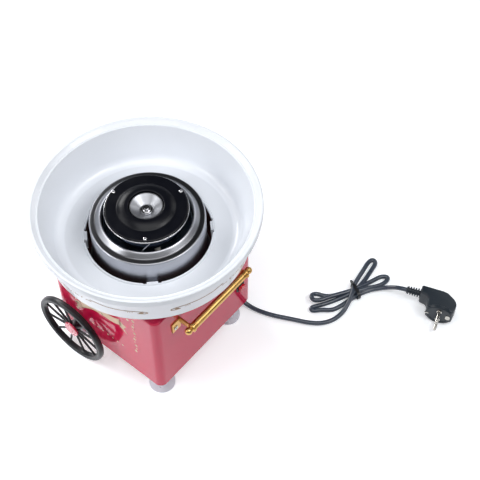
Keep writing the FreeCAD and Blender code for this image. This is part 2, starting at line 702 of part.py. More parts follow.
def make_switch():
    y, z = S["switch_y"], S["switch_z"]
    body = new_body("switch_body")
    bezel = new_sketch(body, "switch_bezel", "YZ_Plane", offset=HALF_X)
    half_length, half_height = S["bezel_length"] / 2, S["bezel_height"] / 2
    draw(bezel, rounded_rectangle(half_length, half_height, 2.0, y, z))
    pad(body, bezel, 1.8)
    barrel = new_sketch(body, "switch_barrel", "YZ_Plane", offset=HALF_X - 20)
    overhang = S["bezel_overhang"]
    draw(barrel, rounded_rectangle(half_length - overhang, half_height - overhang, 0.9, y, z))
    pad(body, barrel, 20)
    mouth = new_sketch(body, "switch_mouth", "YZ_Plane", offset=HALF_X - 8)
    draw(mouth, rounded_rectangle(S["rocker_length"] / 2 + 0.7, S["rocker_height"] / 2 + 0.35, 0.4, y, z))
    pocket(body, mouth, 12, backwards=True)
    keep("switch_body", body)

    half = S["rocker_length"] / 2
    rocker = new_body("switch_rocker")
    lever = new_sketch(rocker, "rocker_outline")
    draw(lever, [(-4.5, -half + 2), (1.0, -half), (5.2, -half + 0.4), (5.0, -half + 2.2, 1.6), (3.4, 0),
                 (5.0, half - 2.2), (5.2, half - 0.4, 1.6), (1.0, half), (-4.5, half - 2)])
    pad(rocker, lever, S["rocker_height"], symmetric=True)
    put(rocker, (HALF_X, y, z), Rotation(Vector(0, 0, 1), S["rocker_tilt"].number))
    rocker.setExpression("Placement.Rotation.Angle", "sizes.rocker_tilt")
    keep("switch_rocker", rocker)


def make_wiring_blocks():
    """Terminal block and inner cord clamp, both on the base plate."""
    blank = box("terminal_blank", (32, 14, 12), (-66, 34, PLATE_TOP))
    bores = [cylinder("terminal_bore_%d" % number, 1.6, 14, (-61 + 7.4 * number, 34, PLATE_TOP + 4.5),
                      ALONG_PLUS_Y) for number in range(4)]
    keep("terminal_block", cut("terminal_block", blank, fuse("terminal_bores", *bores)))
    keep("cord_clamp", box("cord_clamp", (18, 9, 7), (CORD_BLOCK_X + 6, CORD_BLOCK_Y - 4.5, PLATE_TOP)))


# ---------------------------------------------------------------- mains cord

CORD_BLOCK_X, CORD_BLOCK_Y = 16.0, 80.0
CORD_HEADING = 8.0
RELIEF_LENGTH = 24.0
LEAD_ROUTE = [(46.3, 84.26, 22.0), (56.2, 85.65, 22.0), (66.5, 87.4, 17.6), (76.5, 90.0, 10.4),
              (87.5, 91.8, 5.0), (99, 93.2, 3.5), (113, 96.6, 3.4), (130, 102.8, 3.4), (152, 113.8, 3.4),
              (173, 123.4, 3.4), (188, 134.0, 3.4), (198, 149.5, 3.4), (201, 168.0, 3.6),
              (197.5, 185.5, 5.0), (194.0, 199.0, 6.8)]
TAIL_ROUTE = [(205.0, 217.5, 7.0), (213.0, 228.5, 4.6), (221.5, 237.0, 5.6), (231.5, 241.8, 11.8),
              (241.6, 243.6, 17.6), (252.72, 247.58, 19.0)]
TIE = Vector(195.0, 206.5, 0)
TIE_HEADING = 62.0
LOOP_TIPS = {"a": (184.6, 262.5, 10.4), "b": (213.0, 248.8, 10.6), "c": (159.8, 163.6, 10.8),
             "d": (169.0, 152.8, 10.6)}
HANK_HEIGHT = 13.6
PLUG_FACE = Vector(312.1, 239.4, 0)
PLUG_HEADING = 20.0


def cord_solid(name, route, radius):
    """A tube along straight runs joined by arcs that are as large as the runs allow."""
    corners = [Vector(*point) for point in route]
    edges, radii, here = [], [], corners[0]
    for before, corner, after in zip(corners, corners[1:], corners[2:]):
        to_corner, from_corner = (corner - before), (after - corner)
        reach = 0.45 * min(to_corner.Length, from_corner.Length)
        turn = to_corner.getAngle(from_corner)
        start = corner - to_corner.normalize() * reach
        end = corner + from_corner.normalize() * reach
        inward = (from_corner - to_corner).normalize()
        radii.append(reach / math.tan(turn / 2))
        middle = corner + inward * (radii[-1] / math.cos(turn / 2) - radii[-1])
        edges += [Part.LineSegment(here, start).toShape(), Part.Arc(start, middle, end).toShape()]
        here = end
    edges.append(Part.LineSegment(here, corners[-1]).toShape())
    path = Part.Wire(edges)
    section = Part.Wire([Part.Circle(corners[0], corners[1] - corners[0], radius).toShape()])
    solid = path.makePipeShell([section], True, True)
    expected = math.pi * radius * radius * path.Length
    if abs(solid.Volume - expected) > 0.01 * expected:
        raise RuntimeError("%s has volume %.0f, not %.0f" % (name, solid.Volume, expected))
    print("%s: length %.0f, bend radii %s" % (name, path.Length, " ".join("%.0f" % r for r in radii)))
    feature = DOC.addObject("Part::Feature", name)
    feature.Shape = solid
    return keep(name, feature)


def loop_slab(tip_x, tip_y, tip_radius):
    """A flat tapered loop shape from the tie to a round tip."""
    root = Vector(TIE.x, TIE.y, 0.2)
    tip = Vector(tip_x, tip_y, 0.2)
    root_radius = 6.0
    along = tip - root
    lean = math.asin((tip_radius - root_radius) / along.Length)
    heading = math.atan2(along.y, along.x)
    edges = []
    spots = {}
    for side in (-1, 1):
        angle = heading + side * (math.pi / 2 + lean)
        normal = Vector(math.cos(angle), math.sin(angle), 0)
        spots[side] = (root + normal * root_radius, tip + normal * tip_radius)
    far = tip + Vector(math.cos(heading), math.sin(heading), 0) * tip_radius
    near = root - Vector(math.cos(heading), math.sin(heading), 0) * root_radius
    edges.append(Part.LineSegment(spots[-1][0], spots[-1][1]).toShape())
    edges.append(Part.Arc(spots[-1][1], far, spots[1][1]).toShape())
    edges.append(Part.LineSegment(spots[1][1], spots[1][0]).toShape())
    edges.append(Part.Arc(spots[1][0], near, spots[-1][0]).toShape())
    return Part.Face(Part.Wire(edges)).extrude(Vector(0, 0, HANK_HEIGHT))


def make_cord():
    relief_turn = Rotation(Vector(0, 0, 1), CORD_HEADING) * ALONG_X
    height = S["cord_exit_height"]
    block = box("outlet_block", (16, 14, 10), (CORD_BLOCK_X - 8, CORD_BLOCK_Y - 7, S["foot_height"] - 10))
    spout = cylinder("outlet_spout", 6.6, 12, (CORD_BLOCK_X, CORD_BLOCK_Y, height), relief_turn)
    plug_in = cylinder("outlet_plug", 4.5, S["base_plate_thick"], (CORD_BLOCK_X, CORD_BLOCK_Y, S["foot_height"]))
    heading = math.radians(CORD_HEADING)
    start = (CORD_BLOCK_X + 12 * math.cos(heading), CORD_BLOCK_Y + 12 * math.sin(heading), height)
    relief = cone("outlet_relief", 6.0, 4.2, RELIEF_LENGTH - 5.4, start, relief_turn)
    keep("cord_outlet", fuse("cord_outlet", block, spout, plug_in, relief))
    cord_solid("cord_lead", LEAD_ROUTE, S["cord_radius"].number)
    cord_solid("cord_tail", TAIL_ROUTE, S["cord_radius"].number)

    hank = DOC.addObject("Part::Feature", "cord_hank")
    slabs = [loop_slab(*tip) for tip in LOOP_TIPS.values()]
    band_turn = Placement(TIE, Rotation(Vector(0, 0, 1), TIE_HEADING))
    waist = Part.makeBox(9, 23, HANK_HEIGHT + 0.6, Vector(-4.5, -11.5, 0.9))
    waist.Placement = band_turn
    ring = Part.makeBox(6, 25.4, HANK_HEIGHT + 2.2, Vector(-3, -12.7, 0.1))
    ring = ring.cut(Part.makeBox(8, 23, HANK_HEIGHT + 0.6, Vector(-4, -11.5, 0.9)))
    ring.Placement = band_turn
    lobes = slabs[0].fuse(slabs[1:]).cut(ring).fuse(waist).removeSplitter()
    hank.Shape = lobes.cut(ring)
    keep("cord_hank", hank)
    tie = DOC.addObject("Part::Feature", "cord_tie")
    tie.Shape = ring
    keep("cord_tie", tie)


def make_plug():
    """Angled mains plug lying on its side: its pins point along its local -Y."""
    place = Placement(PLUG_FACE, Rotation(Vector(0, 0, 1), PLUG_HEADING))
    radius = S["plug_radius"]
    body = new_body("plug_body")
    outline = new_sketch(body, "plug_outline", offset=5)
    draw(outline, [(-19, 4), (19, 4), (20.5, 19), (17.0, 24.5), (5, 33.5), (-19, 34.2), (-32.6, 35), (-32.6, 21),
                   (-20, 17.5)])
    moulding = pad(body, outline, 28)
    corner_edges = ["Edge%d" % number for number, edge in enumerate(moulding.Shape.Edges, start=1)
                    if edge.BoundBox.ZLength < 0.01 and edge.BoundBox.YMax > 4.1]
    rounding = body.newObject("PartDesign::Chamfer", "plug_chamfer")
    rounding.Base = (moulding, corner_edges)
    rounding.Size = 3.0
    DOC.recompute()
    disc = new_sketch(body, "plug_disc", "XZ_Plane")
    draw_circle(disc, radius, 0, radius)
    pad(body, disc, 6).Reversed = True
    DOC.recompute()
    body.Placement = place
    keep("plug_body", body)

    pins = [cylinder("plug_pin_%d" % side, S["pin_radius"], S["pin_length"],
                     (0, 0, radius + S["pin_spacing"] / 2 * side), ALONG_MINUS_Y) for side in (-1, 1)]
    pins_group = group("plug_pins", pins)
    pins_group.Placement = place
    keep("plug_pins", pins_group)
    clips_group = group("plug_earth", [box("plug_clip_left", (1.4, 1.0, 6), (-17.6, -1.0, radius - 3)),
                                       box("plug_clip_right", (9, 1.0, 7), (8.6, -1.0, radius - 3.5))])
    clips_group.Placement = place
    keep("plug_earth", clips_group)
    back = Rotation(Vector(0, 0, 1), 180) * ALONG_X
    relief = cone("plug_relief_cone", 6.2, 4.4, 20.4, (-32.6, 28, radius), back)
    relief_group = group("plug_relief_group", [relief])
    relief_group.Placement = place
    keep("plug_relief", relief_group)


# ---------------------------------------------------------------- bowl

WALL_SLOPE = math.radians(71)


def make_bowl():
    """Lift-off bowl: a pan and an outer skirt that hang from one rolled rim."""
    rim, top, lip = S["rim_radius"], S["rim_top"], S["lip_height"]
    floor, wall, hole = S["bowl_floor"], S["bowl_wall"], S["hole_radius"]
    flat, curve, skirt = S["bowl_flat"], S["bowl_curve"], S["skirt_radius"]
    under = floor - wall
    out, up = math.sin(WALL_SLOPE), math.cos(WALL_SLOPE)
    wall_rise = 49.5
    bead_top = floor + wall_rise + 1.8
    hollow_top = floor + 44.5
    wall_top = flat + curve * out + (wall_rise - curve * (1 - up)) / math.tan(WALL_SLOPE)
    bowl = new_body("bowl")
    revolve(bowl, "bowl_moulded", [
        (hole, under), (hole, floor + 0.5), (hole + 0.9, floor + 1.4, -0.9), (hole + 2.0, floor + 1.4),
        (hole + 3.4, floor), (flat, floor), (flat + curve * out, floor + curve * (1 - up), curve),
        (wall_top, floor + wall_rise), (wall_top + 1.4, bead_top, -1.6), (wall_top + 2.6, bead_top - 0.5, -1.3),
        (wall_top + 3.4, bead_top - 0.5), (rim - 4.4, top - 1.2), (rim - 2.8, top, -1.9), (rim - 1.7, top),
        (rim, top - 1.7, -1.7), (rim, top - lip), (rim - 2.2, top - lip), (skirt + 0.9, under + 4),
        (skirt, under), (skirt - wall, under), (skirt - wall + 0.6, under + 4), (rim - 5.6, hollow_top),
        (wall_top + 1.2, hollow_top),
        (flat + (curve + wall) * out, floor + curve - (curve + wall) * up), (flat, under, -(curve + wall))])
    tab = new_sketch(bowl, "bowl_tab", offset=S["tab_bottom"])
    half_tab = S["tab_width"] / 2
    draw(tab, [(hole - 2.4, -half_tab), (hole + 0.6, -half_tab), (hole + 0.6, half_tab), (hole - 2.4, half_tab)])
    tab_pad = pad(bowl, tab, floor - S["tab_bottom"])
    slots = new_sketch(bowl, "bowl_tab_slots", offset=under - 1)
    for side in (-1, 1):
        low, high = half_tab * side, (half_tab + 4.5) * side
        draw(slots, [(hole - 3, low), (hole + 1.0, low), (hole + 1.0, high), (hole - 3, high)])
    slots_cut = pocket(bowl, slots, 6, backwards=True)
    pattern = bowl.newObject("PartDesign::PolarPattern", "bowl_tab_pattern")
    pattern.Originals = [tab_pad, slots_cut]
    pattern.Axis = (origin_feature(bowl, "Z_Axis"), [""])
    pattern.Angle = 360
    pattern.Occurrences = 4
    bowl.Tip = pattern
    bowl.Placement = Placement(Vector(), Rotation(Vector(0, 0, 1), 45))
    DOC.recompute()
    keep("bowl", bowl)


# ---------------------------------------------------------------- check and export

def check_and_export():
    DOC.recompute()
    for thing in DOC.Objects:
        if "Invalid" in thing.State or "Error" in thing.State:
            raise RuntimeError("%s is %s" % (thing.Name, thing.State))
    os.makedirs("parts", exist_ok=True)
    for node, thing in PARTS.items():
        shape = thing.Shape
        if shape.isNull() or not shape.isValid() or shape.Volume <= 0:
            raise RuntimeError("%s has no valid shape" % node)
        shape.exportStep("parts/%s.step" % node)
        print("%-24s solids %2d  volume %9.0f" % (node, len(shape.Solids), shape.Volume))
    print(len(PARTS), "sub-parts")


make_housing()
make_base_plate()
make_base_screws()
make_feet()
make_well()
make_drum()
make_heater()
make_head()
make_motor()
make_wheels()
make_handle()
make_switch()
make_wiring_blocks()
make_cord()
make_plug()
make_bowl()
check_and_export()
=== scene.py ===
"""Looks of a cart-shaped cotton candy machine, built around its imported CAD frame, in metres."""
import json
import math

import bmesh
import bpy
from mathutils import Matrix, Vector


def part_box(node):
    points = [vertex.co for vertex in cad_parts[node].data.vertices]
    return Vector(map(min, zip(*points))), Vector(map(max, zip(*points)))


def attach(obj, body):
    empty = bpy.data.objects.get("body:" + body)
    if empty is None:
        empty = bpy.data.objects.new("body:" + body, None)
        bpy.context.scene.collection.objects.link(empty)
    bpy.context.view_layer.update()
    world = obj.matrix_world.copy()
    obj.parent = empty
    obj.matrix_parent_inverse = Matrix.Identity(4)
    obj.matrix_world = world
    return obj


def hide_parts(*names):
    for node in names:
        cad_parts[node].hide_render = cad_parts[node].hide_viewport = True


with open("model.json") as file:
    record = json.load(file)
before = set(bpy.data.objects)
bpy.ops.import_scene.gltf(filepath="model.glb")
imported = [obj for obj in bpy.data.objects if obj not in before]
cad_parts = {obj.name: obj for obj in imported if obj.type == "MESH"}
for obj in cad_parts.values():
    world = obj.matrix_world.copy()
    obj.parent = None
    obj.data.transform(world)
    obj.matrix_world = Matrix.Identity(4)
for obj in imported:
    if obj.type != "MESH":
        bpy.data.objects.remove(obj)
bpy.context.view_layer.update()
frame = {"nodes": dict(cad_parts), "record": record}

NODES = frame["nodes"]
MM = 0.001


# ---------------------------------------------------------------- materials

def shader(name, **settings):
    """A new material and its Principled shader, with values set on the shader's own sockets."""
    material = bpy.data.materials.new(name)
    material.use_nodes = True
    principled = material.node_tree.nodes["Principled BSDF"]
    for socket, value in settings.items():
        principled.inputs[socket.replace("_", " ")].default_value = value
    return material, principled


def rgba(colour):
    """An opaque colour for a socket."""
    return (*colour, 1.0)


def add_node(material, kind, **values):
    """A new shader node; each value goes to the input of that name, or else to the setting."""
    node = material.node_tree.nodes.new(kind)
    for key, value in values.items():
        if key in node.inputs:
            node.inputs[key].default_value = value
        else:
            setattr(node, key, value)
    return node


def link(material, out_node, out_name, in_node, in_name):
    """Join an output of one node to an input of another."""
    material.node_tree.links.new(out_node.outputs[out_name], in_node.inputs[in_name])


def object_noise(material, scale, detail=4.0, stretch=(1, 1, 1)):
    """Noise in object space, `scale` in cells per metre."""
    place = add_node(material, "ShaderNodeTexCoord")
    mapping = add_node(material, "ShaderNodeMapping")
    mapping.inputs["Scale"].default_value = stretch
    noise = add_node(material, "ShaderNodeTexNoise", Scale=scale, Detail=detail)
    link(material, place, "Object", mapping, "Vector")
    link(material, mapping, "Vector", noise, "Vector")
    return noise


def add_grain(material, principled, scale, depth, stretch=(1, 1, 1)):
    """A fine bump of `depth` metres."""
    noise = object_noise(material, scale, stretch=stretch)
    bump = add_node(material, "ShaderNodeBump", Strength=1.0, Distance=depth)
    link(material, noise, "Fac", bump, "Height")
    link(material, bump, "Normal", principled, "Normal")


def vary(material, principled, socket, low, high, scale, stretch=(1, 1, 1)):
    """Let a number wander between two values over the surface."""
    noise = object_noise(material, scale, stretch=stretch)
    span = add_node(material, "ShaderNodeMapRange")
    span.inputs["From Min"].default_value = 0.3
    span.inputs["From Max"].default_value = 0.7
    span.inputs["To Min"].default_value = low
    span.inputs["To Max"].default_value = high
    link(material, noise, "Fac", span, "Value")
    link(material, span, "Result", principled, socket)


def vary_colour(material, principled, first, second, scale, stretch=(1, 1, 1)):
    """Let the base colour wander between two colours over the surface."""
    noise = object_noise(material, scale, stretch=stretch)
    ramp = add_node(material, "ShaderNodeValToRGB")
    ramp.color_ramp.elements[0].position = 0.35
    ramp.color_ramp.elements[0].color = rgba(first)
    ramp.color_ramp.elements[1].position = 0.65
    ramp.color_ramp.elements[1].color = rgba(second)
    link(material, noise, "Fac", ramp, "Fac")
    link(material, ramp, "Color", principled, "Base Color")


def plastic(name, colour, roughness, grain=0.0, spread=0.94, coat=0.0, coat_ior=1.5, wander=0.15,
            **settings):
    """Moulded plastic: a slightly uneven colour and gloss, and a fine grain."""
    material, principled = shader(name, **settings)
    darker = tuple(channel * spread for channel in colour)
    vary_colour(material, principled, colour, darker, 40)
    vary(material, principled, "Roughness", roughness * (1 - wander), roughness * (1 + wander), 60)
    if grain:
        add_grain(material, principled, 2500, grain)
    if coat:
        principled.inputs["Coat Weight"].default_value = coat
        principled.inputs["Coat IOR"].default_value = coat_ior
        principled.inputs["Coat Roughness"].default_value = 0.04
    return material


def metal(name, colour, roughness, brushed=(1, 1, 1), depth=0.000004, spread=0.88):
    """Bare metal: wandering gloss, faint stains and a brushed or cast bump."""
    material, principled = shader(name, Metallic=1.0)
    darker = tuple(channel * spread for channel in colour)
    vary_colour(material, principled, colour, darker, 90)
    vary(material, principled, "Roughness", roughness * 0.75, roughness * 1.3, 220, brushed)
    add_grain(material, principled, 1800, depth, brushed)
    return material


def turned_metal(name, colour, roughness, lines, depth):
    """Metal that was turned or polished round the Z axis: fine rings at a constant radius and height."""
    material, principled = shader(name, Metallic=1.0, Roughness=roughness)
    place = add_node(material, "ShaderNodeTexCoord")
    split = add_node(material, "ShaderNodeSeparateXYZ")
    link(material, place, "Object", split, "Vector")
    flat = add_node(material, "ShaderNodeCombineXYZ")
    link(material, split, "X", flat, "X")
    link(material, split, "Y", flat, "Y")
    radius = add_node(material, "ShaderNodeVectorMath", operation="LENGTH")
    link(material, flat, "Vector", radius, 0)
    ring_place = add_node(material, "ShaderNodeCombineXYZ")
    link(material, radius, "Value", ring_place, "X")
    link(material, split, "Z", ring_place, "Y")
    rings = add_node(material, "ShaderNodeTexNoise", Scale=lines, Detail=6.0)
    link(material, ring_place, "Vector", rings, "Vector")
    bump = add_node(material, "ShaderNodeBump", Strength=1.0, Distance=depth)
    link(material, rings, "Fac", bump, "Height")
    link(material, bump, "Normal", principled, "Normal")
    darker = tuple(channel * 0.85 for channel in colour)
    ramp = add_node(material, "ShaderNodeValToRGB")
    ramp.color_ramp.elements[0].position = 0.35
    ramp.color_ramp.elements[0].color = rgba(darker)
    ramp.color_ramp.elements[1].position = 0.6
    ramp.color_ramp.elements[1].color = rgba(colour)
    link(material, rings, "Fac", ramp, "Fac")
    link(material, ramp, "Color", principled, "Base Color")
    return material


def multiply_colour(material, painted_darkening, socket):
    """Multiply the base colour by the output of another node."""
    principled = material.node_tree.nodes["Principled BSDF"]
    colour = principled.inputs["Base Color"].links[0].from_socket
    product = add_node(material, "ShaderNodeVectorMath", operation="MULTIPLY")
    material.node_tree.links.new(colour, product.inputs[0])
    link(material, painted_darkening, socket, product, 1)
    link(material, product, "Vector", principled, "Base Color")


def outward_vector(material):
    """The vector from the Z axis to the point, level with the point, in object space."""
    place = add_node(material, "ShaderNodeTexCoord")
    flat = add_node(material, "ShaderNodeVectorMath", operation="MULTIPLY")
    flat.inputs[1].default_value = (1, 1, 0)
    link(material, place, "Object", flat, 0)
    return flat


def paint_darkening_by_radius(material, reach, stops):
    """Paint darkening into the base colour by the distance from the Z axis, as painted shade on the bowl and
    painted dark reflection on the drum: (millimetres, darkening) stops up to `reach`.
    """
    radius = add_node(material, "ShaderNodeVectorMath", operation="LENGTH")
    link(material, outward_vector(material), "Vector", radius, 0)
    span = add_node(material, "ShaderNodeMapRange")
    span.inputs["From Max"].default_value = reach * MM
    link(material, radius, "Value", span, "Value")
    ramp = add_node(material, "ShaderNodeValToRGB")
    points = ramp.color_ramp.elements
    while len(points) < len(stops):
        points.new(0.5)
    for point, (distance, _) in zip(points, stops):
        point.position = distance / reach
    for point, (_, painted_darkening) in zip(points, stops):
        point.color = rgba((painted_darkening, painted_darkening, painted_darkening))
    link(material, span, "Result", ramp, "Fac")
    multiply_colour(material, ramp, "Color")


def paint_shade_on_outward_faces(material, painted_darkening):
    """Paint shade on the faces that look away from the Z axis, by multiplying the base colour there by the
    given factor.
    """
    away = add_node(material, "ShaderNodeVectorMath", operation="NORMALIZE")
    link(material, outward_vector(material), "Vector", away, 0)
    turned_out = add_node(material, "ShaderNodeVectorMath", operation="DOT_PRODUCT")
    surface = add_node(material, "ShaderNodeNewGeometry")
    link(material, away, "Vector", turned_out, 0)
    link(material, surface, "Normal", turned_out, 1)
    span = add_node(material, "ShaderNodeMapRange")
    span.inputs["From Min"].default_value = 0.3
    span.inputs["From Max"].default_value = 0.9
    span.inputs["To Min"].default_value = 1.0
    span.inputs["To Max"].default_value = painted_darkening
    link(material, turned_out, "Value", span, "Value")
    multiply_colour(material, span, "Result")


RED = (0.49, 0.007, 0.05)
WHITE = (0.87, 0.905, 0.965)
BLACK = (0.012, 0.0125, 0.015)

MATERIALS = {
    "housing_plastic": plastic("red_gloss_plastic", RED, 0.07, spread=0.99, wander=0.08, IOR=1.41),
    "base_plastic": plastic("red_matte_plastic", (0.30, 0.004, 0.02), 0.5, grain=0.00002),
    "liner_plastic": plastic("dark_red_plastic", (0.06, 0.012, 0.012), 0.5, grain=0.00001),
    "foot_rubber": plastic("clear_rubber", (0.80, 0.79, 0.86), 0.3, Transmission_Weight=0.3, IOR=1.45),
    "bowl_plastic": plastic("white_gloss_plastic_painted_shade", WHITE, 0.4, spread=0.99, coat=0.5, wander=0.05),
    "drum_steel": turned_metal("spun_steel_painted_reflection", (0.52, 0.53, 0.57), 0.33, 9000, 0.000008),
    "shield_steel": metal("dull_steel", (0.14, 0.18, 0.23), 0.4),
    "heater_alloy": metal("heater_alloy", (0.06, 0.08, 0.12), 0.4, depth=0.00002),
    "ceramic": plastic("ceramic", (0.78, 0.75, 0.68), 0.6, grain=0.00002),
    "brass_contacts": metal("contact_brass", (0.62, 0.46, 0.20), 0.3),
    "motor_steel": metal("motor_steel", (0.42, 0.43, 0.45), 0.35),
    "magnet": plastic("magnet_ferrite", (0.04, 0.04, 0.045), 0.6, grain=0.00003),
    "rotor_steel": metal("rotor_steel", (0.25, 0.25, 0.27), 0.45),
    "bearing_bronze": metal("bearing_bronze", (0.45, 0.30, 0.14), 0.4),
    "black_rubber": plastic("black_rubber", (0.016, 0.016, 0.017), 0.65, grain=0.00002),
    "zinc_screws": metal("zinc", (0.55, 0.56, 0.60), 0.3),
    "bright_screws": metal("bright_steel", (0.72, 0.72, 0.74), 0.18),
    "wiring_plastic": plastic("wiring_plastic", (0.72, 0.70, 0.66), 0.5, grain=0.00001),
    "switch_plastic": plastic("switch_plastic", BLACK, 0.45, grain=0.00001),
    "rocker_plastic": plastic("rocker_plastic", (0.62, 0.006, 0.02), 0.25, coat=0.6),
    "handle_brass": metal("antique_brass", (0.68, 0.42, 0.14), 0.34, brushed=(1, 0.15, 1), depth=0.000006),
    "handle_screws": metal("screw_steel", (0.62, 0.60, 0.56), 0.22),
    "wheel_plastic": plastic("black_wheel_plastic", (0.015, 0.016, 0.019), 0.33, grain=0.000003,
                             Specular_IOR_Level=0.3),
    "cap_plastic": plastic("red_cap_plastic", RED, 0.3, coat=1.0, coat_ior=1.7),
    "head_aluminium": turned_metal("head_aluminium", (0.74, 0.74, 0.76), 0.2, 7000, 0.00001),
    "cup_aluminium": turned_metal("cup_aluminium", (0.44, 0.45, 0.48), 0.38, 5000, 0.00002),
    "head_plastic": plastic("black_heatproof_plastic", (0.0035, 0.004, 0.007), 0.33, grain=0.000003,
                            Specular_IOR_Level=0.22),
    "cord_rubber": plastic("black_cord_sheath", (0.042, 0.056, 0.082), 0.3, grain=0.000004, coat=0.5),
    "tie_plastic": plastic("tie_plastic", (0.010, 0.011, 0.014), 0.4),
    "plug_plastic": plastic("black_plug_plastic", (0.012, 0.020, 0.030), 0.45, grain=0.00001),
    "plug_metal": metal("nickel_pins", (0.60, 0.58, 0.54), 0.22),
}
GOLD_PRINT = plastic("gold_print", (0.22, 0.11, 0.025), 0.45)
CREAM_PRINT = plastic("cream_print", (0.62, 0.47, 0.33), 0.5)

# Radii in millimetres of the bowl's flat floor and of the drum's sloping ring, step and wall, with the
# painted shade on the bowl's floor and outside faces and the painted dark reflection on the drum's ring and
# step
BOWL_FLAT = 105.5
BOWL_FLOOR_PAINTED_SHADE = 0.87
BOWL_OUTSIDE_PAINTED_SHADE = 0.70
DRUM_PAINTED_REFLECTION = [(0, 1.0), (60.4, 1.0), (61.6, 0.62), (64.8, 0.52), (65.6, 0.27), (71.2, 0.24), (72.6, 0.95)]

# Painted shade on the bowl: a darker flat floor, and darker faces that look away from its axis.
paint_darkening_by_radius(MATERIALS["bowl_plastic"], 200,
               [(0, BOWL_FLOOR_PAINTED_SHADE), (BOWL_FLAT, BOWL_FLOOR_PAINTED_SHADE), (BOWL_FLAT + 2.5, 1.0)])
paint_shade_on_outward_faces(MATERIALS["bowl_plastic"], BOWL_OUTSIDE_PAINTED_SHADE)
# Painted dark reflection on the drum: its sloping ring and step are darkened to stand for the dark
# surroundings seen in the steel.
paint_darkening_by_radius(MATERIALS["drum_steel"], 100, DRUM_PAINTED_REFLECTION)


def paint_cad_nodes():
    """Give every CAD node the finish of its slot."""
    for part in frame["record"]["subparts"]:
        material = MATERIALS[part["material_slot"]]
        node = NODES[part["node"]]
        node.data.materials.clear()
        node.data.materials.append(material)
        for polygon in node.data.polygons:
            polygon.material_index = 0


# ---------------------------------------------------------------- mesh helpers

def new_object(name, data):
    """An object in the scene for a mesh, curve, light or camera."""
    piece = bpy.data.objects.new(name, data)
    bpy.context.scene.collection.objects.link(piece)
    return piece


def settle(piece, slot, body, *replaced, material=None):
    """Give a piece its finish and its body, and hide the CAD nodes that it stands for."""
    piece.data.materials.clear()
    piece.data.materials.append(material or MATERIALS[slot])
    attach(piece, body)
    if replaced:
        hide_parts(*replaced)
    return piece


def shade(mesh, angle=35):
    """Smooth shading with sharp edges kept."""
    for polygon in mesh.polygons:
        polygon.use_smooth = True
    mesh.set_sharp_from_angle(angle=math.radians(angle))


def mesh_from(name, build, angle=35):
    """A mesh object from a function that fills a bmesh."""
    work = bmesh.new()
    build(work)
    bmesh.ops.remove_doubles(work, verts=work.verts, dist=1e-7)
    bmesh.ops.recalc_face_normals(work, faces=work.faces)
    mesh = bpy.data.meshes.new(name)
    work.to_mesh(mesh)
    work.free()
    shade(mesh, angle)
    return new_object(name, mesh)


def facing(axis):
    """Rotation that takes +Z to `axis`."""
    return Vector((0, 0, 1)).rotation_difference(Vector(axis)).to_matrix().to_4x4()


def arc(centre, radius, first, last, steps=6):
    """Points on an arc, angles in degrees."""
    points = []
    for step in range(steps + 1):
        angle = math.radians(first + (last - first) * step / steps)
        points.append((centre[0] + radius * math.cos(angle), centre[1] + radius * math.sin(angle)))
    return points


def join_rings(work, first, second):
    """A band of faces between two rings with as many corners."""
    for index in range(len(first)):
        following = (index + 1) % len(first)
        work.faces.new((first[index], first[following], second[following], second[index]))


def add_lathe(work, profile, place=None, segments=96, closed=True):
    """Turn (radius, height) points about Z.  A point at radius 0 makes a pole."""
    place = place or Matrix.Identity(4)
    turns = [2 * math.pi * step / segments for step in range(segments)]
    rings = []
    for radius, height in profile:
        if radius < 1e-9:
            rings.append([work.verts.new(place @ Vector((0, 0, height)))])
            continue
        spots = [Vector((radius * math.cos(turn), radius * math.sin(turn), height)) for turn in turns]
        rings.append([work.verts.new(place @ spot) for spot in spots])
    pairs = list(zip(rings, rings[1:])) + ([(rings[-1], rings[0])] if closed else [])
    for low, high in pairs:
        if len(low) == 1 and len(high) == 1:
            continue
        if len(low) == len(high):
            join_rings(work, low, high)
            continue
        for step in range(segments):
            following = (step + 1) % segments
            if len(low) == 1:
                work.faces.new((low[0], high[following], high[step]))
            else:
                work.faces.new((low[step], low[following], high[0]))


def add_prism(work, outline, bottom, top, place=None):
    """A flat outline of (x, y) points, pulled up along Z."""
    place = place or Matrix.Identity(4)
    low = [work.verts.new(place @ Vector((x, y, bottom))) for x, y in outline]
    high = [work.verts.new(place @ Vector((x, y, top))) for x, y in outline]
    work.faces.new(list(reversed(low)))
    work.faces.new(high)
    join_rings(work, low, high)


def rounded_box_outline(half_x, half_y, radius, steps=5):
    """Corner points of a rectangle with round corners."""
    corners = [(half_x - radius, half_y - radius, 0), (radius - half_x, half_y - radius, 90),
               (radius - half_x, radius - half_y, 180), (half_x - radius, radius - half_y, 270)]
    points = []
    for x, y, first in corners:
        points += arc((x, y), radius, first, first + 90, steps)
    return points


def bevel(piece, width, segments=3, angle=35):
    """Round the edges that are sharper than `angle` degrees."""
    modifier = piece.modifiers.new("soft_edges", "BEVEL")
    modifier.width = width
    modifier.segments = segments
    modifier.limit_method = "ANGLE"
    modifier.angle_limit = math.radians(angle)
    return piece


def apply_modifiers(piece, angle=35):
    """Make the modifiers' result the piece's own mesh."""
    depsgraph = bpy.context.evaluated_depsgraph_get()
    mesh = bpy.data.meshes.new_from_object(piece.evaluated_get(depsgraph))
    piece.modifiers.clear()
    piece.data = mesh
    shade(mesh, angle)
    return piece


def softened(node, body, slot, width, name):
    """A copy of a CAD node with its edges rounded, which stands for the node."""
    work = bmesh.new()
    work.from_mesh(NODES[node].data)
    bmesh.ops.remove_doubles(work, verts=work.verts, dist=1e-6)
    bmesh.ops.dissolve_limit(work, angle_limit=math.radians(1), verts=work.verts, edges=work.edges)
    mesh = bpy.data.meshes.new(name)
    work.to_mesh(mesh)
    work.free()
    piece = bevel(new_object(name, mesh), width)
    apply_modifiers(piece)
    return settle(piece, slot, body, node)


# ---------------------------------------------------------------- wheels

SPOKES = 12


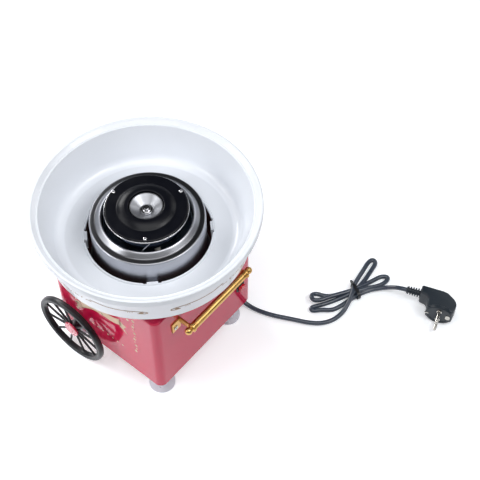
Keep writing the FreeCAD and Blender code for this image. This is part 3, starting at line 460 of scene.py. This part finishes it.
def wheel_profile(radius, band, half):
    """Section of the rim: a round tread with a groove beside its inner lip."""
    inner = radius - band
    points = arc((radius - 3.1 * MM, half - 3.1 * MM), 3.1 * MM, 0, 100, 6)
    points += [(inner + 2.6 * MM, half - 0.5 * MM), (inner + 2.0 * MM, half - 1.1 * MM)]
    points += arc((inner + 1.0 * MM, half - 1.6 * MM), 1.0 * MM, 60, 180, 4)
    mirrored = [(r, -w) for r, w in reversed(points)]
    return points + mirrored


def add_spoke(work, place, inner, outer, thick_in, thick_out, depth):
    """A tapered round spoke from the hub to the rim, at local height `depth`."""
    sides = 10
    stations = ((inner, thick_in), (inner + 3 * MM, thick_in * 0.92), (outer - 3 * MM, thick_out),
                (outer, thick_out * 1.2))
    rings = []
    for reach, thick in stations:
        ring = []
        for side in range(sides):
            turn = 2 * math.pi * side / sides
            spot = Vector((reach, thick * math.cos(turn), depth + thick * math.sin(turn)))
            ring.append(work.verts.new(place @ spot))
        rings.append(ring)
    for low, high in zip(rings, rings[1:]):
        join_rings(work, low, high)
    work.faces.new(list(reversed(rings[0])))
    work.faces.new(rings[-1])


def make_wheel(side_name, outward):
    """Cart wheel on the -Y or +Y side; its outward direction is `outward`."""
    node = "wheel_" + side_name
    low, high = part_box(node)
    centre = (low + high) / 2
    radius = (high.x - low.x) / 2
    half = 4.5 * MM
    rim_face = abs(low.y if outward < 0 else high.y)
    origin = Vector((centre.x, (rim_face - half) * outward, centre.z))
    place = Matrix.Translation(origin) @ facing((0, outward, 0))

    def build(work):
        add_lathe(work, wheel_profile(radius, 8 * MM, half), place, 128)
        add_lathe(work, [(4.1 * MM, -8 * MM), (8.2 * MM, -8 * MM), (9 * MM, -7.2 * MM), (9 * MM, 0.7 * MM),
                         (7.3 * MM, 0.7 * MM), (7.3 * MM, -2 * MM), (4.1 * MM, -2 * MM)], place, 64)
        for spoke in range(SPOKES):
            turn = Matrix.Rotation(2 * math.pi * (spoke + 0.5) / SPOKES, 4, "Z")
            add_spoke(work, place @ turn, 8.6 * MM, radius - 7.4 * MM, 1.9 * MM, 1.45 * MM, -2.2 * MM)

    body = side_name + "_wheel"
    settle(mesh_from(side_name + "_wheel_spoked", build), "wheel_plastic", body, node)

    def cap(work):
        profile = [(0, 1.6), (7, 1.6), (7, 0.8), (9, 0.8), (9, -0.15), (11.6, -0.15), (12, 0.3), (12, 1.6)]
        profile += arc((10.9, 1.7), 1.1, 20, 90, 4)
        profile += [(9.4, 2.85), (9.1, 2.4), (8.7, 2.4), (8.4, 2.9), (4.6, 3.1), (4.3, 2.7), (3.9, 2.7)]
        profile += [(3.6, 3.15), (0, 3.25)]
        add_lathe(work, [(r * MM, w * MM) for r, w in profile], place, 64, closed=False)

    settle(mesh_from(side_name + "_hub_cap_ringed", cap), "cap_plastic", body, node + "_hub_cap")


# ---------------------------------------------------------------- drum

def make_drum():
    """Spun steel shroud: a tall wall, a flat step and a raised ring with a rolled lip."""
    low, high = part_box("drum_shroud")
    bottom, top = low.z / MM, high.z / MM
    wall = 73.5
    step, mouth, sheet = top - 6, 57.5, 1.0
    outside = [(wall + 6.5, bottom), (wall + 6.5, bottom + sheet), (wall + 0.8, bottom + sheet)]
    outside += [(wall, bottom + 1.8)]
    outside += arc((wall - 2.6, step - 2.6), 2.6, 0, 80, 8)
    outside += [(wall - 5.5, step + 0.1), (66.4, step + 0.2)]
    outside += [(65.6, step + 0.4), (64.9, step + 1.0), (60.4, top - 1.1)]
    outside += arc((mouth + 1.3, top - 1.3), 1.3, 60, 180, 8)
    inside = [(mouth, top - 12), (mouth + sheet, top - 12), (mouth + sheet, top - 2.2)]
    inside += [(64.0, step - 0.6), (69.0, step - 0.9), (wall - 2.8, step - sheet)]
    inside += [(wall - sheet, step - 4), (wall - sheet, bottom)]

    def build(work):
        add_lathe(work, [(radius * MM, height * MM) for radius, height in outside + inside], segments=160)

    return settle(mesh_from("drum_spun", build, 50), "drum_steel", "base", "drum_shroud")


# ---------------------------------------------------------------- screws

def add_cross_screw(work, place, radius, crown):
    """Pan head with a cross recess.  `place` takes its seat to the origin and +Z outward."""
    steps, rings = 32, []
    arm, slim, floor = 0.62 * radius, 0.17 * radius, 0.35 * crown

    def top_at(x, y):
        reach = min(1.0, math.hypot(x, y) / radius)
        crown_height = crown * (0.35 + 0.65 * math.sqrt(1 - 0.92 * reach * reach))
        inside = min(abs(x), abs(y)) < slim and max(abs(x), abs(y)) < arm
        return floor if inside else crown_height

    levels = [0.0, 0.08, 0.16, 0.24, 0.36, 0.48, 0.58, 0.66, 0.78, 0.88, 0.95, 1.0]
    for level in levels[1:]:
        ring = []
        for step in range(steps):
            turn = 2 * math.pi * step / steps
            x, y = radius * level * math.cos(turn), radius * level * math.sin(turn)
            ring.append(work.verts.new(place @ Vector((x, y, top_at(x, y)))))
        rings.append(ring)
    rings.append([work.verts.new(place @ Vector((radius * math.cos(2 * math.pi * step / steps),
                                                 radius * math.sin(2 * math.pi * step / steps), 0)))
                  for step in range(steps)])
    centre = work.verts.new(place @ Vector((0, 0, floor)))
    for step in range(steps):
        work.faces.new((centre, rings[0][step], rings[0][(step + 1) % steps]))
    for low, high in zip(rings, rings[1:]):
        for step in range(steps):
            following = (step + 1) % steps
            work.faces.new((low[step], high[step], high[following], low[following]))
    work.faces.new(list(reversed(rings[-1])))


# ---------------------------------------------------------------- spinner head

HEAD_SCREW_ANGLES = (-50, 70, 190)


def ring_of(profile, place=None, segments=128):
    """A function that lathes (radius, height) points given in millimetres."""
    scaled = [(radius * MM, height * MM) for radius, height in profile]
    return lambda work: add_lathe(work, scaled, place, segments)


def make_head():
    """The spinner head's rolled edge, cover screws and centre nut, and the spring strip beside it."""
    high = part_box("head_pan")[1]
    edge, flange = high.x / MM, high.z / MM

    rim = arc((edge - 0.75, flange - 0.1), 0.75, -60, 190, 10)
    rim += [(edge - 1.6, flange - 0.5), (edge - 1.0, flange - 0.8)]
    settle(mesh_from("head_pan_rolled_edge", ring_of(rim)), "head_aluminium", "spinner_head")

    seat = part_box("head_cover")[0].z + 2.1 * MM
    circle = 48.5 * MM

    def screws(work):
        for angle in HEAD_SCREW_ANGLES:
            turn = math.radians(angle)
            at = Matrix.Translation((circle * math.cos(turn), circle * math.sin(turn), seat))
            add_cross_screw(work, at @ Matrix.Rotation(turn, 4, "Z"), 2.3 * MM, 1.4 * MM)

    settle(mesh_from("head_cross_screws", screws), "bright_screws", "spinner_head", "head_screws")

    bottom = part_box("head_nut")[0].z / MM
    collar = [(0, 0), (7.2, 0), (7.2, 0.9), (6.9, 1.2), (5.2, 1.3), (5.0, 1.5), (5.0, 3.4), (4.6, 3.8)]
    collar += [(3.1, 3.9), (2.9, 3.6), (1.7, 3.6), (1.5, 3.2), (1.5, 1.2), (0, 1.2)]
    nut = ring_of([(radius, bottom + height) for radius, height in collar], None, 48)
    settle(mesh_from("head_centre_nut", nut), "bright_screws", "spinner_head", "head_nut")

    def clip(work):
        """Thin spring strip that leans from the drum's mouth in under the head's rolled edge."""
        line = [(57.4, 233.5, -56), (56.4, 236.5, -55), (54.6, 240.0, -52), (52.4, 244.6, -46),
                (50.0, 246.6, -42)]
        spots = []
        for radius, height, angle in line:
            turn = math.radians(angle)
            spots.append(Vector((radius * math.cos(turn), radius * math.sin(turn), height)) * MM)
        rings = []
        for index, spot in enumerate(spots):
            along = (spots[min(index + 1, len(spots) - 1)] - spots[max(index - 1, 0)]).normalized()
            across = along.cross(Vector((spot.x, spot.y, 0)).normalized()).normalized() * 0.7 * MM
            thick = along.cross(across).normalized() * 0.25 * MM
            rings.append([work.verts.new(spot + shift) for shift in
                          (across + thick, -across + thick, -across - thick, across - thick)])
        for first, second in zip(rings, rings[1:]):
            join_rings(work, first, second)
        work.faces.new(rings[0])
        work.faces.new(list(reversed(rings[-1])))

    settle(mesh_from("shield_spring_strip", clip), "zinc_screws", "base")


# ---------------------------------------------------------------- bowl ornament

ORNAMENT_LIFT = 0.12 * MM
ORNAMENT_WIDTH = 1.8 * MM
PRINT_THICK = 0.25 * MM
SCROLLS_MIDDLE = -42.25


def skirt_point(degrees, height):
    """A point just outside the bowl's skirt, at an angle and a height in millimetres."""
    radius = (131.9 + (height - 205.5) * 10.9 / 45.3) * MM + ORNAMENT_LIFT
    turn = math.radians(degrees)
    return Vector((radius * math.cos(turn), radius * math.sin(turn), height * MM))


def rounded_line(points, rounds=3):
    """Cut the corners of an open line of (u, v) points until it looks smooth."""
    for _ in range(rounds):
        smoother = [points[0]]
        for (u0, v0), (u1, v1) in zip(points, points[1:]):
            smoother.append((0.75 * u0 + 0.25 * u1, 0.75 * v0 + 0.25 * v1))
            smoother.append((0.25 * u0 + 0.75 * u1, 0.25 * v0 + 0.75 * v1))
        points = smoother + [points[-1]]
    return points


def add_sheet(work, outline, surface, thick):
    """A thin printed shape: (u, v) points laid on a surface, with a back `thick` below it."""
    front = [work.verts.new(surface(u, v)) for u, v in outline]
    back = [work.verts.new(surface(u, v, thick)) for u, v in outline]
    work.faces.new(front)
    work.faces.new(list(reversed(back)))
    for index in range(len(outline)):
        following = (index + 1) % len(outline)
        work.faces.new((front[index], back[index], back[following], front[following]))


def add_ribbon(work, line, width, surface, thick, aspect=1.0):
    """A printed line of even width.  `aspect` is the size of one v step over one u step."""
    left, right = [], []
    for index, (u, v) in enumerate(line):
        u0, v0 = line[max(0, index - 1)]
        u1, v1 = line[min(len(line) - 1, index + 1)]
        along = Vector(((u1 - u0), (v1 - v0) * aspect)).normalized()
        taper = 0.35 if index in (0, len(line) - 1) else 1.0
        across = Vector((-along.y, along.x)) * width / 2 * taper
        left.append((u + across.x, v + across.y / aspect))
        right.append((u - across.x, v - across.y / aspect))
    for index in range(len(line) - 1):
        add_sheet(work, [left[index], left[index + 1], right[index + 1], right[index]], surface, thick)


def blob(u, v, half_u, half_v, lean=0.0, steps=14):
    """Outline of an ellipse round (u, v), turned by `lean` radians."""
    cosine, sine = math.cos(lean), math.sin(lean)
    points = []
    for step in range(steps):
        turn = 2 * math.pi * step / steps
        x, y = half_u * math.cos(turn), half_v * math.sin(turn)
        points.append((u + x * cosine - y * sine, v + x * sine + y * cosine))
    return points


def make_ornament():
    """Four mirrored gold scrolls printed round the bowl's skirt."""
    arc_length = math.radians(1) * 136

    def on_skirt(middle, side):
        def surface(u, v, depth=0.0):
            point = skirt_point(middle + side * u / arc_length, v)
            inward = Vector((point.x, point.y, 0)).normalized() * depth
            return point - inward
        return surface

    scroll = [(11, 222.3), (8, 221.2), (5.9, 222.6), (5.9, 226.0), (8.5, 228.3), (12, 228.9), (18, 228.6),
              (24, 229.2), (29, 230.6), (32, 233.2), (35, 235.0)]
    scroll = rounded_line([(degrees * arc_length, height) for degrees, height in scroll])
    marks = [blob(9 * arc_length, 224.4, 2.8, 2.0)]
    marks += [blob(degrees * arc_length, 225.0, 0.6, 1.3) for degrees in (13.6, 14.7, 15.8)]
    marks += [blob(35.6 * arc_length, 229.4, 2.4, 1.0, 0.5), blob(37.6 * arc_length, 229.0, 1.8, 0.9, -0.4),
              blob(40.4 * arc_length, 229.6, 1.1, 2.6, 0.35), blob(43.0 * arc_length, 229.2, 1.7, 0.9, 0.4),
              blob(44.4 * arc_length, 229.6, 0.9, 1.5, 0.0)]

    def build(work):
        for quarter in range(4):
            for side in (-1, 1):
                surface = on_skirt(SCROLLS_MIDDLE + 90 * quarter, side)
                add_ribbon(work, scroll, ORNAMENT_WIDTH / MM, surface, PRINT_THICK)
                for mark in marks:
                    add_sheet(work, mark, surface, PRINT_THICK)

    settle(mesh_from("bowl_gold_scrolls", build, 60), "bowl_plastic", "floss_bowl", material=GOLD_PRINT)


# ---------------------------------------------------------------- printed front

def make_front_print():
    """Plain waving banner and rows of dots on the wheel side of the housing."""
    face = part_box("housing")[0].y
    thick = 0.3 * MM

    def surface(u, v, depth=0.0):
        return Vector((u * MM, face - 0.10 * MM + depth, v * MM))

    centre = rounded_line([(-44, 101), (-34, 110), (-20, 118), (-4, 121), (10, 122), (20, 125), (29, 131)])
    upper = [(u - 1.5, v + 6.0) for u, v in centre]
    lower = [(u + 1.5, v - 6.0) for u, v in centre]

    def banner(work):
        for index in range(len(centre) - 1):
            strip = [upper[index], upper[index + 1], lower[index + 1], lower[index]]
            add_sheet(work, strip, surface, thick)
        upper_tail = [(27, 134), (39.5, 128.5), (34, 120.5), (40.5, 111.5), (27.5, 119.5)]
        lower_tail = [(-47, 107), (-57, 99), (-51, 94), (-54, 84), (-43, 94)]
        add_sheet(work, upper_tail, surface, thick)
        add_sheet(work, lower_tail, surface, thick)

    settle(mesh_from("front_banner_print", banner), "housing_plastic", "base", material=CREAM_PRINT)

    def dots(work):
        for side in (-1, 1):
            for step in range(11):
                size = 1.4 if step % 2 else 2.3
                shift = 0.8 if step % 4 < 2 else -0.8
                dot = blob(53 * side + shift, 158 - 7.4 * step, size, size, steps=10)
                add_sheet(work, dot, surface, thick)
        for step in range(-3, 4):
            add_sheet(work, blob(9 * step, 71 + 0.35 * abs(step), 1.5, 1.2, steps=10), surface, thick)
        for u, v, size in ((44, 152, 2.2), (-44, 152, 2.2), (30, 150, 1.5), (-30, 150, 1.5)):
            add_sheet(work, blob(u, v, size, size * 0.8), surface, thick)

    settle(mesh_from("front_dot_print", dots), "housing_plastic", "base", material=CREAM_PRINT)


# ---------------------------------------------------------------- handle and switch

def make_handle():
    """The two bent brackets and the cross screws that hold them."""
    for side_name in ("front", "rear"):
        softened("handle_bracket_" + side_name, "base", "handle_brass", 0.5 * MM,
                 side_name + "_handle_bracket")
    low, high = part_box("handle_screws")
    seat = high.x - 1.8 * MM
    half = (high.y - low.y) / 2 - 3.2 * MM
    height = (low.z + high.z) / 2

    def screws(work):
        for side in (-1, 1):
            at = Matrix.Translation((seat, half * side, height)) @ facing((1, 0, 0))
            add_cross_screw(work, at @ Matrix.Rotation(0.4, 4, "Z"), 3.2 * MM, 1.8 * MM)

    settle(mesh_from("handle_cross_screws", screws), "handle_screws", "base", "handle_screws")


def make_handle_rod():
    """Turned rod with two grooves near each end, a neck and a ball."""
    low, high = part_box("handle_rod")
    centre = (low + high) / 2
    along = Matrix(((1, 0, 0, centre.x), (0, 0, 1, 0), (0, -1, 0, centre.z), (0, 0, 0, 1)))
    end = high.y / MM
    thick, groove, neck, ball = 5.2, 4.4, 3.3, 5.0
    half = [(thick, end - 8.0), (groove, end - 7.7), (groove, end - 7.1), (thick, end - 6.8)]
    half += [(thick, end - 5.8), (groove, end - 5.5), (groove, end - 5.0), (thick, end - 4.7)]
    half += [(thick, end - 0.6), (thick - 0.3, end - 0.2), (neck, end + 0.6)]
    half += arc((0, end + 4.4), ball, -48, 90, 14)
    profile = [(radius, -height) for radius, height in reversed(half)] + half

    def rod(work):
        add_lathe(work, [(radius * MM, height * MM) for radius, height in profile], along, 40, closed=False)

    settle(mesh_from("handle_turned_rod", rod), "handle_brass", "base", "handle_rod", "handle_balls")


def make_switch():
    """The switch's collar and its rocker."""
    low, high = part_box("switch_body")
    centre = (low + high) / 2
    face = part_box("housing")[1].x
    at = Matrix(((0, 0, 1, face), (1, 0, 0, centre.y), (0, 1, 0, centre.z), (0, 0, 0, 1)))

    def bezel(work):
        """A round-cornered collar with a deep well for the rocker: half sizes, corner radius and height."""
        steps = [(7.7, 5.3, 2.0, -0.2), (7.7, 5.3, 2.0, 1.1), (7.5, 5.1, 1.8, 1.5), (7.1, 4.8, 1.6, 1.75),
                 (6.0, 4.0, 0.8, 1.75), (5.7, 3.75, 0.6, 1.5), (5.6, 3.65, 0.5, 1.1), (5.6, 3.65, 0.5, -7.5)]
        loops = []
        for half_x, half_y, radius, out in steps:
            outline = rounded_box_outline(half_x, half_y, radius, 6)
            loops.append([work.verts.new(at @ Vector((x * MM, y * MM, out * MM))) for x, y in outline])
        for first, second in zip(loops, loops[1:]):
            join_rings(work, first, second)
        work.faces.new(list(reversed(loops[-1])))

    settle(mesh_from("switch_bezel", bezel), "switch_plastic", "base", "switch_body")
    softened("switch_rocker", "power_rocker", "rocker_plastic", 0.6 * MM, "switch_rocker_soft")


# ---------------------------------------------------------------- cord, tie and plug

CORD_DIAMETER = 6.6 * MM

# The cord's route, in millimetres: out of the outlet, through the tied loops and on to the plug
CORD_EXIT = (46.3, 84.26, 22.0)
CORD_LEAD = [
    CORD_EXIT, (56.2, 85.65, 22.0), (66.5, 87.4, 17.6), (76.5, 90.0, 10.4), (87.5, 91.8, 5.0),
    (99, 93.2, 3.5), (113, 96.6, 3.4), (130, 102.8, 3.4), (152, 113.8, 3.4), (173, 123.4, 3.4),
    (188, 134.0, 3.4), (198, 149.5, 3.4), (201, 168.0, 3.8), (198.5, 184.0, 7.5),
]
CORD_LOOPS = [
    (193.5, 200.5, 10.6), (188.0, 211.0, 10.2), (184.0, 228.0, 6.0), (181.0, 246.0, 3.6),
    (178.3, 260.5, 3.4), (180.0, 269.9, 3.4), (188.0, 268.2, 3.4), (190.2, 253.5, 3.5),
    (192.5, 236.0, 3.5), (193.4, 219.0, 3.6), (190.0, 204.0, 3.6), (181.0, 194.5, 3.5),
    (172.5, 180.5, 3.6), (163.5, 172.5, 4.6), (154.0, 168.5, 6.6), (149.5, 160.5, 8.8),
    (157.0, 153.5, 10.4), (165.5, 160.0, 10.0), (173.5, 176.0, 9.6), (184.5, 193.0, 9.4),
    (192.0, 206.0, 9.0), (196.5, 222.0, 5.0), (202.5, 239.5, 3.5), (207.5, 253.8, 3.4),
    (217.0, 259.0, 3.4), (218.5, 247.0, 3.6), (213.5, 234.0, 5.4), (205.0, 220.5, 9.0),
    (195.5, 204.5, 9.6), (186.5, 189.0, 5.4), (178.0, 173.5, 3.5), (169.0, 158.0, 3.4),
    (160.5, 147.0, 3.4), (164.5, 141.5, 3.4), (174.5, 152.5, 3.4), (187.0, 161.5, 3.4),
    (192.5, 176.0, 3.4), (196.5, 194.0, 3.5),
]
CORD_TAIL = [
    (201.0, 208.0, 3.8), (207.5, 221.5, 4.0), (215.5, 231.5, 4.4), (224.5, 238.5, 7.4),
    (234.5, 242.4, 13.2), (244.0, 244.6, 18.0), (256.0, 248.7, 19.0),
]


def make_cord():
    """The mains lead: one spline from its outlet, through the tied loops, to the plug."""
    curve = bpy.data.curves.new("mains_cord", "CURVE")
    curve.dimensions = "3D"
    spline = curve.splines.new("NURBS")
    route = CORD_LEAD + CORD_LOOPS + CORD_TAIL
    spline.points.add(len(route) - 1)
    for point, place in zip(spline.points, route):
        point.co = (*(value * MM for value in place), 1.0)
    spline.order_u = 3
    spline.use_endpoint_u = True
    spline.resolution_u = 10
    curve.bevel_depth = CORD_DIAMETER / 2
    curve.bevel_resolution = 5
    curve.use_fill_caps = True
    piece = new_object("mains_cord", curve)
    return settle(piece, "cord_rubber", "base", "cord_lead", "cord_hank", "cord_tail")


def make_tie():
    """Flat twist of plastic strip round the bundle, with its two ends standing off."""
    low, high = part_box("cord_tie")
    centre = (low + high) / 2
    heading = math.radians(62)
    along = Vector((math.cos(heading), math.sin(heading), 0))
    across = Vector((-math.sin(heading), math.cos(heading), 0))
    half_wide, half_tall, strip, thick = 11.6 * MM, 6.9 * MM, 2.2 * MM, 0.6 * MM
    middle = Vector((centre.x, centre.y, 7.4 * MM))

    def build(work):
        outline = rounded_box_outline(half_wide, half_tall, 5.0 * MM, 6)
        loops = []
        for shift, grow in ((-strip, 0), (-strip, thick), (strip, thick), (strip, 0)):
            ring = []
            for u, v in outline:
                scale = 1 + grow / math.hypot(u, v)
                spot = middle + along * shift + across * u * scale + Vector((0, 0, v * scale))
                ring.append(work.verts.new(spot))
            loops.append(ring)
        for first, second in zip(loops, loops[1:] + loops[:1]):
            join_rings(work, first, second)
        turn = Matrix.Translation(middle) @ Matrix.Rotation(heading + math.radians(90), 4, "Z")
        for lift, lean, reach in ((3.2, 10, 7.0), (4.2, 24, 5.0)):
            root = Matrix.Translation((half_wide - 2.0 * MM, 0, lift * MM))
            end = turn @ root @ Matrix.Rotation(math.radians(-lean), 4, "Y")
            flat = [(0, -strip), (reach * MM, -strip * 0.8), (reach * MM + 1.2 * MM, 0),
                    (reach * MM, strip * 0.8), (0, strip)]
            add_prism(work, flat, 0, thick, end)

    piece = mesh_from("cord_tie_strip", build)
    settle(piece, "tie_plastic", "base", "cord_tie")
    return piece


PLUG_FACE = Vector((312.1, 239.4, 0)) * MM
PLUG_HEADING = math.radians(20)


def plug_place():
    """Where the plug lies, and how it is turned."""
    return Matrix.Translation(PLUG_FACE) @ Matrix.Rotation(PLUG_HEADING, 4, "Z")


def make_plug():
    """Angled two-pin plug with earth contacts, lying on its side; its pins point along local -Y."""
    place = plug_place()
    axis_height = 19 * MM

    def body(work):
        outline = [(-18.6, 2.0), (18.6, 2.0), (20.6, 16), (19.4, 21), (15.5, 25.5), (5, 33), (-2, 34.2),
                   (-19, 34.4), (-32.4, 34.6), (-32.4, 21.2), (-23, 19.4), (-19.6, 15.5)]
        add_prism(work, [(x * MM, y * MM) for x, y in outline], 5.2 * MM, 32.8 * MM, place)

    piece = mesh_from("plug_moulding", body)
    bevel(piece, 3.0 * MM, 4, 25)
    apply_modifiers(piece, 50)
    body_piece = settle(piece, "plug_plastic", "base", "plug_body")

    turned = place @ Matrix.Translation((0, 0, axis_height)) @ facing((0, -1, 0))

    def face_disc(work):
        profile = [(0, -5.5), (18.4, -5.5), (18.95, -4.8), (18.95, -1.0), (18.4, -0.3), (17.6, 0),
                   (15.6, 0), (15.2, -0.8), (0, -0.8)]
        add_lathe(work, [(r * MM, w * MM) for r, w in profile], turned, 72, closed=False)

    disc = settle(mesh_from("plug_face", face_disc), "plug_plastic", "base")

    relief_place = place @ Matrix.Translation((-32.2 * MM, 28 * MM, axis_height)) @ facing((-1, 0, 0))

    def relief(work):
        profile = [(0, -2), (6.9, -2), (6.9, 0.6), (6.6, 0.9)]
        for rib in range(5):
            start, radius = 0.9 + rib * 3.6, 6.6 - 0.2 * rib
            profile += [(3.9, start + 0.2), (3.9, start + 1.6), (radius - 0.4, start + 1.7),
                        (radius, start + 2.1), (radius, start + 3.2), (radius - 0.4, start + 3.6)]
        profile += [(5.0, 19.2), (4.4, 20.4), (3.2, 20.4), (3.2, 16), (0, 16)]
        add_lathe(work, [(r * MM, w * MM) for r, w in profile], relief_place, 48, closed=False)

    relief_piece = settle(mesh_from("plug_ribbed_relief", relief), "plug_plastic", "base", "plug_relief")

    def pins(work):
        for side in (-1, 1):
            at = place @ Matrix.Translation((0, 0, axis_height + 9.5 * MM * side)) @ facing((0, -1, 0))
            profile = [(0, -1), (3.6, -1), (3.6, 0.4), (2.4, 0.5), (2.4, 17.2), (2.1, 18.3), (1.4, 18.9),
                       (0, 19)]
            add_lathe(work, [(r * MM, w * MM) for r, w in profile], at, 32, closed=False)

    pins_piece = settle(mesh_from("plug_round_pins", pins), "plug_metal", "base", "plug_pins")

    def contacts(work):
        at = place @ Matrix.Translation((13.0 * MM, 0, axis_height)) @ facing((0, -1, 0))
        outline = [(y, x) for x, y in rounded_box_outline(4.6 * MM, 3.2 * MM, 3.1 * MM, 6)]
        add_prism(work, outline, -0.8 * MM, 0.2 * MM, at)
        left = place @ Matrix.Translation((-17.0 * MM, 0, axis_height)) @ facing((0, -1, 0))
        add_prism(work, rounded_box_outline(3.0 * MM, 0.9 * MM, 0.4 * MM), -0.8 * MM, 0.4 * MM, left)

    contacts_piece = settle(mesh_from("plug_earth_contacts", contacts), "plug_metal", "base", "plug_earth")
    return [body_piece, disc, relief_piece, pins_piece, contacts_piece]


# ---------------------------------------------------------------- floor, light and camera

FLOOR_GLOW = 0.35
FLOOR_HALF = 4.0
SOFTBOX_REACH = 1.6

# Name, heading and height in degrees, side in metres, watts.  Heading 0 is on the -Y side, 90 on the +X side.
SOFTBOXES = [
    ("over_camera", 39, 72, 1.2, 12.0),
    ("left_back", 257, 28, 0.55, 9.2),
    ("right_high", 104, 52, 0.55, 6.8),
    ("right_back", 129, 45, 0.55, 2.6),
    ("back_right", 170, 30, 0.55, 2.2),
    ("left", 300, 40, 0.55, 3.4),
    ("front_left", 334, 30, 0.55, 7.6),
]


def add_softbox(name, place, aim, size, power, spread=180):
    """A square area light that looks from `place` to `aim`."""
    light = bpy.data.lights.new(name, "AREA")
    light.shape = "SQUARE"
    light.size = size
    light.energy = power
    light.spread = math.radians(spread)
    lamp = new_object(name, light)
    lamp.location = place
    lamp.rotation_euler = (aim - place).to_track_quat("-Z", "Y").to_euler()


def make_studio():
    """A pale floor, a faint sky and soft lights around the object."""
    floor_mesh = bpy.data.meshes.new("floor")
    corners = [(x * FLOOR_HALF, y * FLOOR_HALF, 0) for x, y in ((-1, -1), (1, -1), (1, 1), (-1, 1))]
    floor_mesh.from_pydata(corners, [], [(0, 1, 2, 3)])
    floor = new_object("floor", floor_mesh)
    floor.location.z = -0.0002
    material, principled = shader("pale_floor", Roughness=0.7)
    principled.inputs["Base Color"].default_value = rgba((0.86, 0.895, 0.935))
    principled.inputs["Emission Color"].default_value = rgba((1.0, 1.0, 1.0))
    principled.inputs["Emission Strength"].default_value = FLOOR_GLOW
    floor_mesh.materials.append(material)

    world = bpy.data.worlds.new("studio")
    world.use_nodes = True
    background = world.node_tree.nodes["Background"]
    background.inputs["Color"].default_value = rgba((0.90, 0.94, 1.0))
    background.inputs["Strength"].default_value = 0.02
    bpy.context.scene.world = world

    middle = Vector((0, 0, 0.1))
    for name, heading, height, size, power in SOFTBOXES:
        turn, rise = math.radians(heading), math.radians(height)
        level = math.cos(rise)
        outward = Vector((math.sin(turn) * level, -math.cos(turn) * level, math.sin(rise)))
        add_softbox(name, middle + outward * SOFTBOX_REACH, middle, size, power)
    add_softbox("front_floor", Vector((-0.28, -0.30, 0.30)), Vector((-0.05, -0.20, 0)), 0.2, 0.22, 80)


def make_camera():
    """The camera that looks down on the machine from its handle side."""
    data = bpy.data.cameras.new("camera")
    data.lens = 83.18
    data.sensor_width = 36.0
    camera = new_object("camera", data)
    camera.location = (0.61799, -0.57461, 1.33859)
    camera.rotation_euler = (math.radians(35.89), 0, math.radians(39.20))
    bpy.context.scene.camera = camera


bpy.context.scene.view_settings.view_transform = "Standard"
paint_cad_nodes()
make_wheel("front", -1)
make_wheel("rear", 1)
make_drum()
make_head()
make_ornament()
make_front_print()
make_handle()
make_handle_rod()
make_switch()
cord = make_cord()
tie = make_tie()
plug = make_plug()
make_studio()
make_camera()
